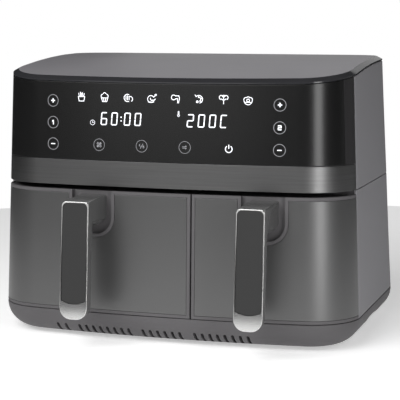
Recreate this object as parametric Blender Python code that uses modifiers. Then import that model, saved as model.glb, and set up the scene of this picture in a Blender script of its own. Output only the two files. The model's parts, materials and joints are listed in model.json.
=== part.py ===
"""Countertop air fryer with two drawers of unequal width, built as an assembly of separate parts.

Metres, +Z up, +X to the right of someone who faces the drawers, -Y towards that person. Parts are placed
round the housing's own plan centre and hang on one empty, which puts the origin at the centre of the
bottom of the whole object's box.
"""

import math

import bmesh
import bpy
from mathutils import Matrix, Vector

# ---- Housing plan, at the height of the seam between base and body --------------------------------------
BODY_WIDTH = 0.400
FRONT_DEPTH = 0.146  # plan centre to the middle of the bowed front
REAR_DEPTH = 0.147  # plan centre to the flat back
FRONT_RADIUS = 1.307  # bow of the front
FRONT_CORNER = 0.0566
REAR_CORNER = 0.052
REAR_CORNER_GROWTH = 0.10  # the rear corners get rounder towards the top, per metre of height
SIDE_DRAFT = 0.032  # the sides, front and back lean in by this much per metre of height
FRONT_DRAFT = 0.023
REAR_DRAFT = 0.036

# ---- Heights --------------------------------------------------------------------------------------------
SEAM_HEIGHT = 0.0308  # joint between base and body
BAND_BOTTOM = 0.1666
BAND_HEIGHT = 0.0272
DRAWER_RECESS = 0.0046  # dark joint between the drawers and the steel band
FRONT_TOP = 0.2805  # crowned top at the middle of the front edge
CROWN_RISE = 0.0204
CROWN_REACH = 0.231  # how far behind the front edge the crown peaks

# ---- Walls, gaps and seams ------------------------------------------------------------------------------
GAP = 0.0003  # between parts that touch
SEAM = 0.0006  # visible joints between housing parts
WALL = 0.0026
SHEET = 0.0009
BOARD = 0.0016
STANDOFF = 0.0030
SIDE_SEAM_SETBACK = 0.0580  # where the front parts meet the rear shells, behind the bow's middle
LID_EDGE = 0.0046
LID_CHAMFER = 0.0064
LID_LIP = 0.0070

# ---- Front fascia ---------------------------------------------------------------------------------------
GLASS = 0.0016
GLASS_SETBACK = 0.0395  # where the glass ends, behind the bow's middle
BAND = 0.0009
FASCIA = 0.0030
DISPLAY_WINDOW = (0.1500, 0.0180)
DISPLAY_RISE = 0.0470  # display's middle above the panel's bottom
CONTROL_BOARD_SETBACK = 0.0200
CONTROL_BOARD = (0.2500, 0.0640)
CONTROL_BOARD_DROP = 0.0050
CONTROL_BOSSES = (0.1100, 0.0260)  # from the board's centre

# ---- Drawers --------------------------------------------------------------------------------------------
SPLIT_X = 0.0323  # joint between the wide left and the narrow right drawer
SPLIT_GAP = 0.0014
DRAWER_BORDER = 0.0038
SKIN = 0.0008
DOOR_WALL = 0.0026
BACKPLATE = 0.0015

# ---- Handles --------------------------------------------------------------------------------------------
HANDLE_OFFSETS = (0.1115, 0.0760)  # from the joint between the drawers
HANDLE_WIDTH = 0.0300
HANDLE_BOTTOM = 0.0332
GRIP_THICKNESS = 0.0120
GRIP_REACH = 0.0400  # top of the grip's face ahead of the middle of the bow
GRIP_LEAN = 0.0090  # bottom of the grip's face ahead of its top
GRIP_DROP = 0.0022  # grip's top below the arm's root
ARM_DROP = 0.0046  # arm's root below the drawer's top
ARM_HEIGHT = 0.0320
ARM_EDGE = 0.0080
ARM_START = 0.0005  # arm's end behind the face of the grip's back
NOTCH_SPARE = 0.0078  # notch beside the handle
NOTCH_HEIGHT = 0.0462
NOTCH_RADIUS = 0.0180
NOTCH_DEPTH = 0.0060
TRIM = 0.0014
TRIM_DEPTH = 0.0022
GRIP_CORNER = 0.0120
TRIM_CORNER = 0.0045
CAP_HEIGHT = 0.0160

# ---- Cooking bays, pans and plates ----------------------------------------------------------------------
LINER_SIDE_GAP = 0.0210  # liner to the housing's half width
LINER_SPLIT_GAP = 0.0105  # liner to the drawer joint
LINER_REAR_GAP = 0.0430  # liner to the housing's back
LINER_LIFT = 0.0040  # liner's floor above the base's seam
LINER_HEIGHT = 0.1750
BAY_FRAME = 0.0025
BAY_FRAME_GAP = 0.0012  # drawer fronts to the bay frame
BAY_FRAME_RISE = 0.0100  # frame's top above the band's bottom
BAY_MARGIN = 0.0070  # frame overlap inside the liner's walls
BAY_HEAD_DROP = 0.0032  # head of the bay's opening below the drawer's top
PAN_CLEARANCE = 0.0030
PAN_REAR_CLEARANCE = 0.0060
PAN_RIM_DROP = 0.0130  # pan's rim below the head of the opening
PAN_TAPER = 0.0050
PAN_CORNER = 0.0240
PAN_WALL = 0.0012
PAN_FOOT = 0.0060  # rounding between the pan's wall and floor
PAN_FLANGE = 0.0035
PLATE_HEIGHT = 0.0080  # plate above the pan's floor
PLATE = 0.0020
PLATE_GAP = 0.0040  # round the plate, for its bumpers
PLATE_CORNER = 0.0120
PLATE_LEG = 0.0035
BUMPER_LENGTH = 0.0140
BUMPER_HEIGHT = 0.0070
PLATE_HOLE = 0.0045
PLATE_HOLES = ((7, 7), (5, 7))

# ---- Heater, fan and motor ------------------------------------------------------------------------------
HEATER_TUBE = 0.0033
HEATER_DROP = 0.0350  # heater below the liner's roof
HEATER_LEG_X = 0.0100
HEATER_RADIUS = (0.0720, 0.0480)
SENSOR_RADIUS = 0.0024
SENSOR_X = 0.0400
FAN_RADIUS = (0.0580, 0.0360)
FAN_DROP = 0.0240
FAN_BLADE = 0.0120
FAN_BLADES = 8
FAN_HUB = 0.0045  # wall of the fan's hub
COOLING_RADIUS = (0.0440, 0.0400)
COOLING_RISE = 0.0040  # cooling fan above the liner's roof
COOLING_BLADE = 0.0100
SHAFT_RADIUS = 0.0030
SHAFT_SPARE = 0.0045  # shaft past the hot-air fan and past the motor
BRACKET_GAP = 0.0062  # bracket over the cooling fan
MOTOR_RADIUS = 0.0290
MOTOR_HEIGHT = 0.0340
MOTOR_BOSS = 0.0030

# ---- Drawer interlock -----------------------------------------------------------------------------------
PLUNGER_RADIUS = 0.0018
PLUNGER_OFFSET = 0.0056  # from the joint between the drawers
PLUNGER_HEIGHT = 0.0958
SWITCH = (0.0064, 0.0160, 0.0200)

# ---- Base, feet and back --------------------------------------------------------------------------------
BASE_PROFILE = ((0.0000, 0.0000), (0.0062, 0.0018), (0.0134, 0.0066), (0.0201, 0.0135), (0.0252, 0.0215),
                (0.0278, 0.0300))  # depth under the seam, inset
FOOT_RADIUS = 0.0095
FOOT_INSETS = (0.0500, 0.0660, 0.0470)  # from the sides, the front and the back
VENT_WIDTH = 0.0032
VENT_GROUPS = ((-0.1220, 0.0096, 2), (-0.0961, 0.0082, 8), (-0.0223, 0.0082, 6), (0.0353, 0.0082, 8))
VENT_SPAN = (0.0155, 0.0262)  # depth under the seam, from and to
LIFT_RECESS = (-0.0180, 0.0560)  # in each side of the base: from y, to y
LIFT_RECESS_DROP = 0.0125
LIFT_RECESS_DEPTH = 0.0300
GRILLE = (0.1300, 0.0460)
GRILLE_RISE = 0.0370  # grille's middle above the panel's bottom
GRILLE_DEPTH = 0.0035
GRILLE_SLOTS = 6
BOARD_HOLES = (0.0650, 0.0400)  # power board, from its centre to its standoffs
BOARD_HEIGHT = 0.1008
POWER_BOARD_GAP = 0.0130  # board to the housing's back
GLAND_X = 0.1200
GLAND_HEIGHT = 0.0658
GLAND_BORE = 0.0036
GLAND_NOSE = 0.0110
GLAND_HOLE = 0.0066

# ---- Worked out from the sizes above --------------------------------------------------------------------
PANEL_BOTTOM = BAND_BOTTOM + BAND_HEIGHT
DRAWER_BOTTOM = SEAM_HEIGHT + SEAM / 2
DRAWER_TOP = BAND_BOTTOM - DRAWER_RECESS
DISPLAY_HEIGHT = PANEL_BOTTOM + DISPLAY_RISE
GRILLE_HEIGHT = PANEL_BOTTOM + GRILLE_RISE
SIDE_SEAM_Y = SIDE_SEAM_SETBACK - FRONT_DEPTH
GLASS_END_Y = GLASS_SETBACK - FRONT_DEPTH
CONTROL_BOARD_Y = CONTROL_BOARD_SETBACK - FRONT_DEPTH
POWER_BOARD_Y = REAR_DEPTH - POWER_BOARD_GAP
HANDLE_X = (SPLIT_X - HANDLE_OFFSETS[0], SPLIT_X + HANDLE_OFFSETS[1])
ARM_TOP = DRAWER_TOP - ARM_DROP
GRIP_TOP = ARM_TOP - GRIP_DROP
GRIP_FRONT_Y = -FRONT_DEPTH - GRIP_REACH
NOTCH_BOTTOM = DRAWER_TOP - NOTCH_HEIGHT
NOTCH_HALF = HANDLE_WIDTH / 2 + NOTCH_SPARE
BAY_FRAME_Y = SIDE_SEAM_Y + BAY_FRAME_GAP
BAY_HEAD = DRAWER_TOP - BAY_HEAD_DROP
LINER_FRONT_Y = BAY_FRAME_Y + BAY_FRAME + GAP
LINER_REAR_Y = REAR_DEPTH - LINER_REAR_GAP
LINER_FLOOR = SEAM_HEIGHT + LINER_LIFT
LINER_TOP = LINER_FLOOR + LINER_HEIGHT
BAY_SILL = LINER_FLOOR + SHEET
PAN_BASE = BAY_SILL + GAP
PAN_FLOOR = PAN_BASE + PAN_WALL
PAN_RIM = BAY_HEAD - PAN_RIM_DROP
PAN_REAR_Y = LINER_REAR_Y - PAN_REAR_CLEARANCE
PLATE_UNDER = PAN_FLOOR + PLATE_HEIGHT
ROTOR_Y = (LINER_FRONT_Y + LINER_REAR_Y) / 2
HEATER_HEIGHT = LINER_TOP - HEATER_DROP
FAN_HEIGHT = LINER_TOP - FAN_DROP
COOLING_HEIGHT = LINER_TOP + COOLING_RISE
BRACKET_TOP = COOLING_HEIGHT + COOLING_BLADE + BRACKET_GAP
MOTOR_BOTTOM = BRACKET_TOP + GAP
SHAFT_ENDS = (FAN_HEIGHT - SHAFT_SPARE, MOTOR_BOTTOM + MOTOR_HEIGHT + MOTOR_BOSS + SHAFT_SPARE)
BACKPLATE_REAR_Y = SIDE_SEAM_Y - SEAM
REAR_REACH = REAR_DEPTH - REAR_DRAFT * (GLAND_HEIGHT - SEAM_HEIGHT) + GLAND_NOSE
CENTRE_SHIFT = (GRIP_LEAN - GRIP_FRONT_Y - REAR_REACH) / 2

# Colour, roughness and metallic value of each finish.
FINISHES = {
    "satin_grey": ((0.215, 0.210, 0.222), 0.42, 0.0),
    "dark_plastic": ((0.085, 0.083, 0.088), 0.45, 0.0),
    "gloss_black": ((0.008, 0.008, 0.009), 0.06, 0.0),
    "black_plastic": ((0.017, 0.016, 0.016), 0.40, 0.0),
    "dark_steel": ((0.150, 0.150, 0.150), 0.34, 1.0),
    "gunmetal": ((0.100, 0.100, 0.102), 0.25, 0.6),
    "bright_silver": ((0.700, 0.700, 0.690), 0.22, 1.0),
    "galvanised": ((0.480, 0.490, 0.500), 0.45, 1.0),
    "heater_steel": ((0.300, 0.290, 0.280), 0.40, 1.0),
    "aluminium": ((0.620, 0.630, 0.640), 0.38, 1.0),
    "pan_coating": ((0.030, 0.030, 0.032), 0.38, 0.0),
    "silicone": ((0.020, 0.020, 0.022), 0.70, 0.0),
    "circuit_board": ((0.020, 0.120, 0.050), 0.55, 0.0),
    "rubber": ((0.020, 0.020, 0.020), 0.80, 0.0),
    "white_plastic": ((0.750, 0.750, 0.730), 0.45, 0.0),
}
SIDES = ("left", "right")


# ---- Scene helpers --------------------------------------------------------------------------------------
def clear_scene():
    """Remove every object of the startup scene."""
    for obj in list(bpy.data.objects):
        bpy.data.objects.remove(obj, do_unlink=True)


def new_collection(name, hidden=False):
    """A collection in the scene; a hidden one holds the cutters."""
    collection = bpy.data.collections.new(name)
    bpy.context.scene.collection.children.link(collection)
    collection.hide_render = hidden
    return collection


def finish(name):
    """The Principled material of a finish, made once."""
    if name in bpy.data.materials:
        return bpy.data.materials[name]
    colour, roughness, metallic = FINISHES[name]
    material = bpy.data.materials.new(name)
    material.use_nodes = True
    shader = material.node_tree.nodes["Principled BSDF"]
    shader.inputs["Base Color"].default_value = (*colour, 1.0)
    shader.inputs["Roughness"].default_value = roughness
    shader.inputs["Metallic"].default_value = metallic
    return material


def add_empty(name, parent, place=(0.0, 0.0, 0.0)):
    """An empty that a moving group of parts hangs on."""
    empty = bpy.data.objects.new(name, None)
    PARTS.objects.link(empty)
    empty.parent = parent
    empty.location = place
    return empty


clear_scene()
PARTS = new_collection("air_fryer")
CUTTERS = new_collection("cutters", hidden=True)
ASSEMBLY = add_empty("assembly", None, (0.0, CENTRE_SHIFT, 0.0))


def add_object(name, mesh, material=None, parent=ASSEMBLY):
    """Link a mesh as a part, or as a cutter if it has no material."""
    obj = bpy.data.objects.new(name, mesh)
    (PARTS if material else CUTTERS).objects.link(obj)
    obj.parent = parent
    if material:
        mesh.materials.append(finish(material))
    else:
        obj.hide_render = True
        obj.display_type = "WIRE"
    return obj


def mesh_from(bm, name, smooth_angle=None):
    """Close a bmesh into a mesh, with its faces pointing out."""
    bmesh.ops.recalc_face_normals(bm, faces=bm.faces)
    mesh = bpy.data.meshes.new(name)
    bm.to_mesh(mesh)
    bm.free()
    if smooth_angle:
        mesh.shade_smooth()
        mesh.set_sharp_from_angle(angle=math.radians(smooth_angle))
    return mesh


def loft(name, rings, material=None, parent=ASSEMBLY):
    """A solid through sections of equal point count, capped at both ends."""
    bm = bmesh.new()
    rows = [[bm.verts.new(point) for point in ring] for ring in rings]
    for first, second in zip(rows, rows[1:]):
        for i in range(len(first)):
            j = (i + 1) % len(first)
            bm.faces.new((first[i], first[j], second[j], second[i]))
    bm.faces.new(reversed(rows[0]))
    bm.faces.new(rows[-1])
    return add_object(name, mesh_from(bm, name, 30), material, parent)


def box(name, low, high, material=None, parent=ASSEMBLY):
    """A box between its lowest and highest corners."""
    bm = bmesh.new()
    bmesh.ops.create_cube(bm, size=1.0)
    size = Vector(high) - Vector(low)
    bmesh.ops.scale(bm, vec=size, verts=bm.verts)
    obj = add_object(name, mesh_from(bm, name), material, parent)
    obj.location = (Vector(low) + Vector(high)) / 2
    return obj


def span_box(name, corner, opposite, *options):
    """A box between any two opposite corners."""
    return box(name, tuple(map(min, corner, opposite)), tuple(map(max, corner, opposite)), *options)


def cylinder(name, centre, radius, depth, material=None, axis="Z", sides=16, end_radius=None,
             parent=ASSEMBLY):
    """A cylinder or cone along Y or Z; end_radius is its radius at the positive end."""
    bm = bmesh.new()
    last = radius if end_radius is None else end_radius
    bmesh.ops.create_cone(bm, cap_ends=True, segments=sides, radius1=radius, radius2=last, depth=depth)
    obj = add_object(name, mesh_from(bm, name, 40), material, parent)
    obj.rotation_euler = (-math.pi / 2, 0, 0) if axis == "Y" else (0, 0, 0)
    obj.location = centre
    return obj


def turned(name, profile, centre, material=None, axis="Z", steps=16):
    """A turned part from a closed profile of (radius, height), up the inside and down the outside."""
    bm = bmesh.new()
    points = [bm.verts.new((radius, 0.0, height)) for radius, height in profile]
    for i in range(len(points)):
        bm.edges.new((points[i], points[(i + 1) % len(points)]))
    mesh = bpy.data.meshes.new(name)
    bm.to_mesh(mesh)
    bm.free()
    obj = add_object(name, mesh, material)
    screw = obj.modifiers.new("turning", "SCREW")
    screw.steps = screw.render_steps = steps
    screw.use_merge_vertices = True
    screw.merge_threshold = 0.00002
    obj.rotation_euler = (-math.pi / 2, 0, 0) if axis == "Y" else (0, 0, 0)
    obj.location = centre
    return obj


def combine(obj, others, operation):
    """Boolean with each helper in turn."""
    for other in others:
        step = obj.modifiers.new(f"{operation.lower()}_{other.name}", "BOOLEAN")
        step.operation = operation
        step.solver = "EXACT"
        step.object = other
    return obj


def cut(obj, *cutters):
    """Remove the cutters from a part."""
    return combine(obj, cutters, "DIFFERENCE")


def join(obj, *pieces):
    """Make helper pieces one body with a part."""
    return combine(obj, pieces, "UNION")


# ---- Housing plan ---------------------------------------------------------------------------------------
def arc(centre, radius, start, end, count):
    """Points along an arc in plan, angles in radians."""
    turns = [start + (end - start) * i / (count - 1) for i in range(count)]
    return [(centre[0] + radius * math.cos(t), centre[1] + radius * math.sin(t)) for t in turns]


def plan_sizes(z, inset):
    """Half width, front, back and corner sizes of the outline at a height, moved inwards by inset."""
    rise = z - SEAM_HEIGHT
    half = BODY_WIDTH / 2 - SIDE_DRAFT * rise - inset
    front = FRONT_DEPTH - FRONT_DRAFT * rise - inset
    back = REAR_DEPTH - REAR_DRAFT * rise - inset
    rear_corner = REAR_CORNER + REAR_CORNER_GROWTH * rise - inset
    return half, front, back, FRONT_CORNER - inset, rear_corner, FRONT_RADIUS - inset


def front_surface(x, z, inset=0.0):
    """Y of the bowed front at an x and a height."""
    _, front, _, _, _, bow = plan_sizes(z, inset)
    return bow - front - math.sqrt(bow**2 - x**2)


def side_at(y, z, inset):
    """Half width of the outline at a y on its front corner or side."""
    half, front, _, corner, _, bow = plan_sizes(z, inset)
    corner_x = half - corner
    corner_y = bow - front - math.sqrt((bow - corner) ** 2 - corner_x**2)
    return corner_x + math.sqrt(corner**2 - max(0.0, corner_y - y) ** 2)


def front_half(z, inset, x_start=0.0, y_end=SIDE_SEAM_Y, bow_points=5, corner_points=8):
    """Right half of the front, from x_start across the bow and round the corner to y_end."""
    half, front, _, corner, _, bow = plan_sizes(z, inset)
    bow_centre = bow - front
    corner_x = half - corner
    corner_y = bow_centre - math.sqrt((bow - corner) ** 2 - corner_x**2)
    turn = math.asin(corner_x / (bow - corner))
    x_end = bow * math.sin(turn)
    points = []
    for i in range(bow_points):
        x = x_start + (x_end - x_start) * i / bow_points
        points.append((x, bow_centre - math.sqrt(bow**2 - x**2)))
    stop = math.asin(max(-1.0, min(0.0, (y_end - corner_y) / corner)))
    return points + arc((corner_x, corner_y), corner, turn - math.pi / 2, stop, corner_points)


def rear_half(z, inset, y_start=SIDE_SEAM_Y, side_points=4, corner_points=7):
    """Right half of the rear, from y_start on the side to the middle of the back."""
    half, front, back, corner, rear_corner, bow = plan_sizes(z, inset)
    corner_y = bow - front - math.sqrt((bow - corner) ** 2 - (half - corner) ** 2)
    start = math.asin(max(-1.0, min(0.0, (y_start - corner_y) / corner)))
    points = arc((half - corner, corner_y), corner, start, 0.0, 2)
    rear_start = back - rear_corner
    points += [(half, corner_y + (rear_start - corner_y) * i / side_points) for i in range(1, side_points)]
    points += arc((half - rear_corner, rear_start), rear_corner, 0.0, math.pi / 2, corner_points)
    return points + [(0.0, back)]


def crown_height(y, drop=0.0):
    """Height of the crowned top at a plan y, lowered by drop."""
    from_front = y + plan_sizes(FRONT_TOP, 0.0)[1]
    return FRONT_TOP - drop + CROWN_RISE * (1.0 - (1.0 - from_front / CROWN_REACH) ** 2)


def level(strip, inset, z, **sizes):
    """A strip of the outline as points in space. z is a height, or a drop below the crowned top."""
    if not isinstance(z, Drop):
        return [(x, y, z) for x, y in strip(z, inset, **sizes)]
    nominal = strip(FRONT_TOP, inset, **sizes)
    heights = [crown_height(y, z.depth) for _, y in nominal]
    found = [strip(height, inset, **sizes)[i] for i, height in enumerate(heights)]
    return [(x, y, crown_height(y, z.depth)) for x, y in found]


class Drop:
    """A height given as a depth below the crowned top."""

    def __init__(self, depth):
        self.depth = depth


def closed_outline(z, inset):
    """The whole outline at one height, once round."""
    right = level(front_half, inset, z, y_end=0.0) + level(rear_half, inset, z, y_start=0.0)[1:]
    left = [(-x, y, height) for x, y, height in reversed(right[1:-1])]
    return right + left


def wall(name, strip, levels, material, **sizes):
    """A bent wall on both sides of the middle, whose section is given by (inset, z) pairs."""
    runs = [level(strip, inset, z, **sizes) for inset, z in levels]
    if strip is rear_half:
        runs = [run + [(-x, y, z) for x, y, z in reversed(run[:-1])] for run in runs]
    else:
        runs = [[(-x, y, z) for x, y, z in reversed(run[1:])] + run for run in runs]
    return loft(name, list(zip(*runs)), material)


# ---- Base and feet --------------------------------------------------------------------------------------
def base_outline(drop, inset):
    """Outline of the base at a depth under the seam."""
    return closed_outline(SEAM_HEIGHT - drop - SEAM / 2, inset)


def make_base():
    """Bowl-shaped base tray with air slots in front and a lifting recess in each side."""
    outer = [base_outline(drop, inset) for drop, inset in BASE_PROFILE]
    inner_drops = [min(drop, BASE_PROFILE[-1][0] - WALL) for drop, _ in BASE_PROFILE]
    inner = [base_outline(drop, inset + WALL) for drop, (_, inset) in zip(inner_drops, BASE_PROFILE)]
    tray = loft("base_tray", inner[::-1] + outer, "dark_plastic")
    deepest = BASE_PROFILE[-1][0] - WALL / 2
    volume = loft("base_volume", [base_outline(min(drop, deepest), inset + WALL / 2)
                                  for drop, inset in BASE_PROFILE])
    from_y, to_y = LIFT_RECESS
    height = SEAM_HEIGHT - LIFT_RECESS_DROP
    for side, sign in zip(SIDES, (-1, 1)):
        inner_x = sign * (BODY_WIDTH / 2 - LIFT_RECESS_DEPTH)
        pocket = span_box(f"pocket_{side}", (inner_x - sign * WALL, from_y - WALL, 0.0),
                          (sign * BODY_WIDTH / 2, to_y + WALL, height + WALL))
        join(tray, combine(pocket, [volume], "INTERSECT"))
        inner, outer = (inner_x, from_y, -WALL), (sign * BODY_WIDTH, to_y, height)
        cut(tray, span_box(f"lift_recess_{side}", inner, outer))
    front = -FRONT_DEPTH - WALL
    for first, pitch, count in VENT_GROUPS:
        for i in range(count):
            x = first + pitch * i
            low = (x - VENT_WIDTH / 2, front, SEAM_HEIGHT - VENT_SPAN[1])
            high = (x + VENT_WIDTH / 2, front + 0.045, SEAM_HEIGHT - VENT_SPAN[0])
            cut(tray, box(f"air_slot_{round(x * 1e4)}", low, high))
    return tray


def make_feet():
    """Four rubber feet under the tray."""
    top = SEAM_HEIGHT - BASE_PROFILE[-1][0] - SEAM / 2 - GAP
    side_inset, front_inset, rear_inset = FOOT_INSETS
    for row, y in (("front", front_inset - FRONT_DEPTH), ("rear", REAR_DEPTH - rear_inset)):
        for side, sign in zip(SIDES, (-1, 1)):
            x = sign * (BODY_WIDTH / 2 - side_inset)
            cylinder(f"foot_{row}_{side}", (x, y, top / 2), FOOT_RADIUS - 0.0015, top, "rubber",
                     end_radius=FOOT_RADIUS)


# ---- Shells ---------------------------------------------------------------------------------------------
def make_lower_shell():
    """Sides and back of the lower body, with the cord's hole and the power board's standoffs."""
    low, high = SEAM_HEIGHT + SEAM / 2, BAND_BOTTOM - SEAM / 2
    section = ((0.0, low), (0.0, high), (WALL, high), (WALL, low))
    shell = wall("lower_rear_shell", rear_half, section, "satin_grey", y_start=SIDE_SEAM_Y + SEAM)
    for x in (-BOARD_HOLES[0], BOARD_HOLES[0]):
        for z in (BOARD_HEIGHT - BOARD_HOLES[1], BOARD_HEIGHT + BOARD_HOLES[1]):
            depth = plan_sizes(z, WALL / 2)[2] - POWER_BOARD_Y
            place = (x, POWER_BOARD_Y + depth / 2, z)
            name = f"board_standoff_{round(x * 1e3)}_{round(z * 1e3)}"
            join(shell, cylinder(name, place, STANDOFF, depth, axis="Y", sides=10))
    hole = cylinder("cord_hole", (GLAND_X, REAR_DEPTH, GLAND_HEIGHT), GLAND_HOLE, 0.030, axis="Y")
    return cut(shell, hole)


def make_cord_gland():
    """Grommet for the mains cord, gripping the wall from both faces."""
    skin_y = plan_sizes(GLAND_HEIGHT, 0.0)[2]
    bore, neck, flange = GLAND_BORE, GLAND_HOLE - GAP, GLAND_HOLE + 0.0025
    inside = -WALL - 2 * GAP
    profile = ((bore, inside - 0.002), (bore, GLAND_NOSE), (bore + 0.0018, GLAND_NOSE), (flange, 0.0026))
    profile += ((flange, 2 * GAP), (neck, 2 * GAP), (neck, inside), (flange, inside))
    profile += ((flange, inside - 0.002),)
    return turned("cord_gland", profile, (GLAND_X, skin_y, GLAND_HEIGHT), "black_plastic", axis="Y")


def make_upper_shell():
    """Sides and back of the upper body, under the lid, with the outlet opening."""
    low, high = BAND_BOTTOM + SEAM / 2, Drop(LID_EDGE + SEAM)
    section = ((0.0, low), (0.0, high), (WALL, high), (WALL, low))
    shell = wall("upper_rear_shell", rear_half, section, "satin_grey", y_start=SIDE_SEAM_Y + SEAM)
    width, height = GRILLE
    low = (-width / 2, REAR_DEPTH - 0.030, GRILLE_HEIGHT - height / 2)
    high = (width / 2, REAR_DEPTH + 0.010, GRILLE_HEIGHT + height / 2)
    return cut(shell, box("outlet_opening", low, high))


def make_lid():
    """Crowned lid with a chamfered edge, made as its right half and mirrored."""
    runs = []
    for inset, drop in ((LID_LIP + WALL, WALL), (LID_LIP, LID_EDGE), (0.0, LID_EDGE), (LID_CHAMFER, 0.0)):
        front = level(front_half, inset, Drop(drop), y_end=0.0)
        runs.append(front + level(rear_half, inset, Drop(drop), y_start=0.0)[1:])
    bm = bmesh.new()
    rows = []
    for ribs in zip(*runs):
        ends = [(0.0, *ribs[0][1:]), (0.0, *ribs[-1][1:])]
        rows.append([bm.verts.new(point) for point in (ends[0], *ribs, ends[1])])
    for first, second in zip(rows, rows[1:]):
        for i in range(len(first) - 1):
            bm.faces.new((first[i], first[i + 1], second[i + 1], second[i]))
    bmesh.ops.remove_doubles(bm, verts=bm.verts, dist=0.00001)
    obj = add_object("top_cover", mesh_from(bm, "top_cover", 30), "satin_grey")
    mirror = obj.modifiers.new("left_half", "MIRROR")
    mirror.merge_threshold = 0.00001
    return obj


def make_outlet_grille():
    """Louvred outlet set in the back of the upper shell."""
    width, height = GRILLE
    back = plan_sizes(GRILLE_HEIGHT, 0.0)[2]
    front = back - WALL - GRILLE_DEPTH / 2
    low = (-width / 2 + SEAM, front, GRILLE_HEIGHT - height / 2 + SEAM)
    high = (width / 2 - SEAM, front + GRILLE_DEPTH, GRILLE_HEIGHT + height / 2 - SEAM)
    grille = box("outlet_grille", low, high, "dark_plastic")
    pitch = height / (GRILLE_SLOTS + 1)
    for i in range(GRILLE_SLOTS):
        z = GRILLE_HEIGHT + (i - (GRILLE_SLOTS - 1) / 2) * pitch
        for side, sign in zip(SIDES, (-1, 1)):
            inner_x, outer_x = sorted((sign * 0.003, sign * (width / 2 - 0.006)))
            low = (inner_x, back - 0.010, z - pitch * 0.28)
            high = (outer_x, back + 0.010, z + pitch * 0.28)
            cut(grille, box(f"louvre_{side}_{i}", low, high))
    return grille


# ---- Front fascia ---------------------------------------------------------------------------------------
def make_fascia():
    """Carrier of the control glass and of the steel band, with the display's window."""
    low, high = BAND_BOTTOM + SEAM / 2, Drop(LID_EDGE + SEAM)
    seat = GLASS + GAP
    back = seat + FASCIA
    section = ((seat, low), (seat, high), (back, high), (back, low))
    fascia = wall("fascia_carrier", front_half, section, "dark_plastic")
    for side, sign in zip(SIDES, (-1, 1)):
        cheek_low = PANEL_BOTTOM + SEAM / 2
        corners = ((0.0, cheek_low), (0.0, high), (back, high), (back, cheek_low))
        runs = [level(front_half, inset, z, corner_points=24)[-9:] for inset, z in corners]
        rings = [[(sign * x, y, z) for x, y, z in ring] for ring in zip(*runs)]
        cheek = loft(f"cheek_{side}", rings)
        glass_room = span_box(f"glass_room_{side}", (sign * BODY_WIDTH / 4, -BODY_WIDTH, 0.0),
                              (sign * BODY_WIDTH, GLASS_END_Y + GAP, 1.0))
        join(fascia, cut(cheek, glass_room))
    reach_x, reach_z = CONTROL_BOSSES
    middle = DISPLAY_HEIGHT - CONTROL_BOARD_DROP
    for x, z in ((sx * reach_x, middle + sz * reach_z) for sx in (-1, 1) for sz in (-1, 1)):
        start = front_surface(x, z, back - FASCIA / 2)
        place = (x, (start + CONTROL_BOARD_Y - GAP) / 2, z)
        depth = CONTROL_BOARD_Y - GAP - start
        name = f"board_boss_{round(x * 1e3)}_{round(z * 1e3)}"
        join(fascia, cylinder(name, place, STANDOFF, depth, axis="Y", sides=10))
    width, height = DISPLAY_WINDOW
    low = (-width / 2, -FRONT_DEPTH, DISPLAY_HEIGHT - height / 2)
    high = (width / 2, -FRONT_DEPTH + 0.030, DISPLAY_HEIGHT + height / 2)
    cut(fascia, box("display_window", low, high))
    return fascia


def make_control_glass():
    """Gloss black touch panel, bent round both corners."""
    low, high = PANEL_BOTTOM + SEAM / 2, Drop(LID_EDGE + SEAM)
    section = ((0.0, low), (0.0, high), (GLASS, high), (GLASS, low))
    return wall("control_glass", front_half, section, "gloss_black", y_end=GLASS_END_Y)


def make_steel_band():
    """Brushed band under the touch panel."""
    low, high = BAND_BOTTOM + SEAM / 2, PANEL_BOTTOM - SEAM / 2
    section = ((0.0, low), (0.0, high), (BAND, high), (BAND, low))
    return wall("steel_band", front_half, section, "dark_steel")


def make_control_board():
    """Touch and display board on the fascia's bosses."""
    half_x, half_z = (size / 2 for size in CONTROL_BOARD)
    middle = DISPLAY_HEIGHT - CONTROL_BOARD_DROP
    board = box("control_board", (-half_x, CONTROL_BOARD_Y, middle - half_z),
                (half_x, CONTROL_BOARD_Y + BOARD, middle + half_z), "circuit_board")
    width, height = DISPLAY_WINDOW
    low = (-width / 2 + 0.002, CONTROL_BOARD_Y - 0.0060, DISPLAY_HEIGHT - height / 2 + 0.002)
    high = (width / 2 - 0.002, CONTROL_BOARD_Y + BOARD / 2, DISPLAY_HEIGHT + height / 2 - 0.002)
    return join(board, box("display_module", low, high))


def make_power_board():
    """Mains board on the rear shell's standoffs, with its transformer and relay."""
    rear = POWER_BOARD_Y - GAP
    front = rear - BOARD
    half_x, half_z = (reach + 2 * STANDOFF for reach in BOARD_HOLES)
    board = box("power_board", (-half_x, front, BOARD_HEIGHT - half_z),
                (half_x, rear, BOARD_HEIGHT + half_z), "circuit_board")
    transformer = box("transformer", (-0.050, front - 0.016, BOARD_HEIGHT - 0.020),
                      (-0.020, front + BOARD / 2, BOARD_HEIGHT + 0.010))
    relay = box("relay", (0.010, front - 0.014, BOARD_HEIGHT - 0.015),
                (0.030, front + BOARD / 2, BOARD_HEIGHT - 0.001))
    return join(board, transformer, relay)


# ---- Cooking bays ---------------------------------------------------------------------------------------
def liner_span(index):
    """Left and right edge of a cooking bay's liner."""
    edge = BODY_WIDTH / 2 - LINER_SIDE_GAP
    if index == 0:
        return -edge, SPLIT_X - LINER_SPLIT_GAP
    return SPLIT_X + LINER_SPLIT_GAP, edge


def rotor_x(index):
    """X of a bay's fan axis."""
    return sum(liner_span(index)) / 2


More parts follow.
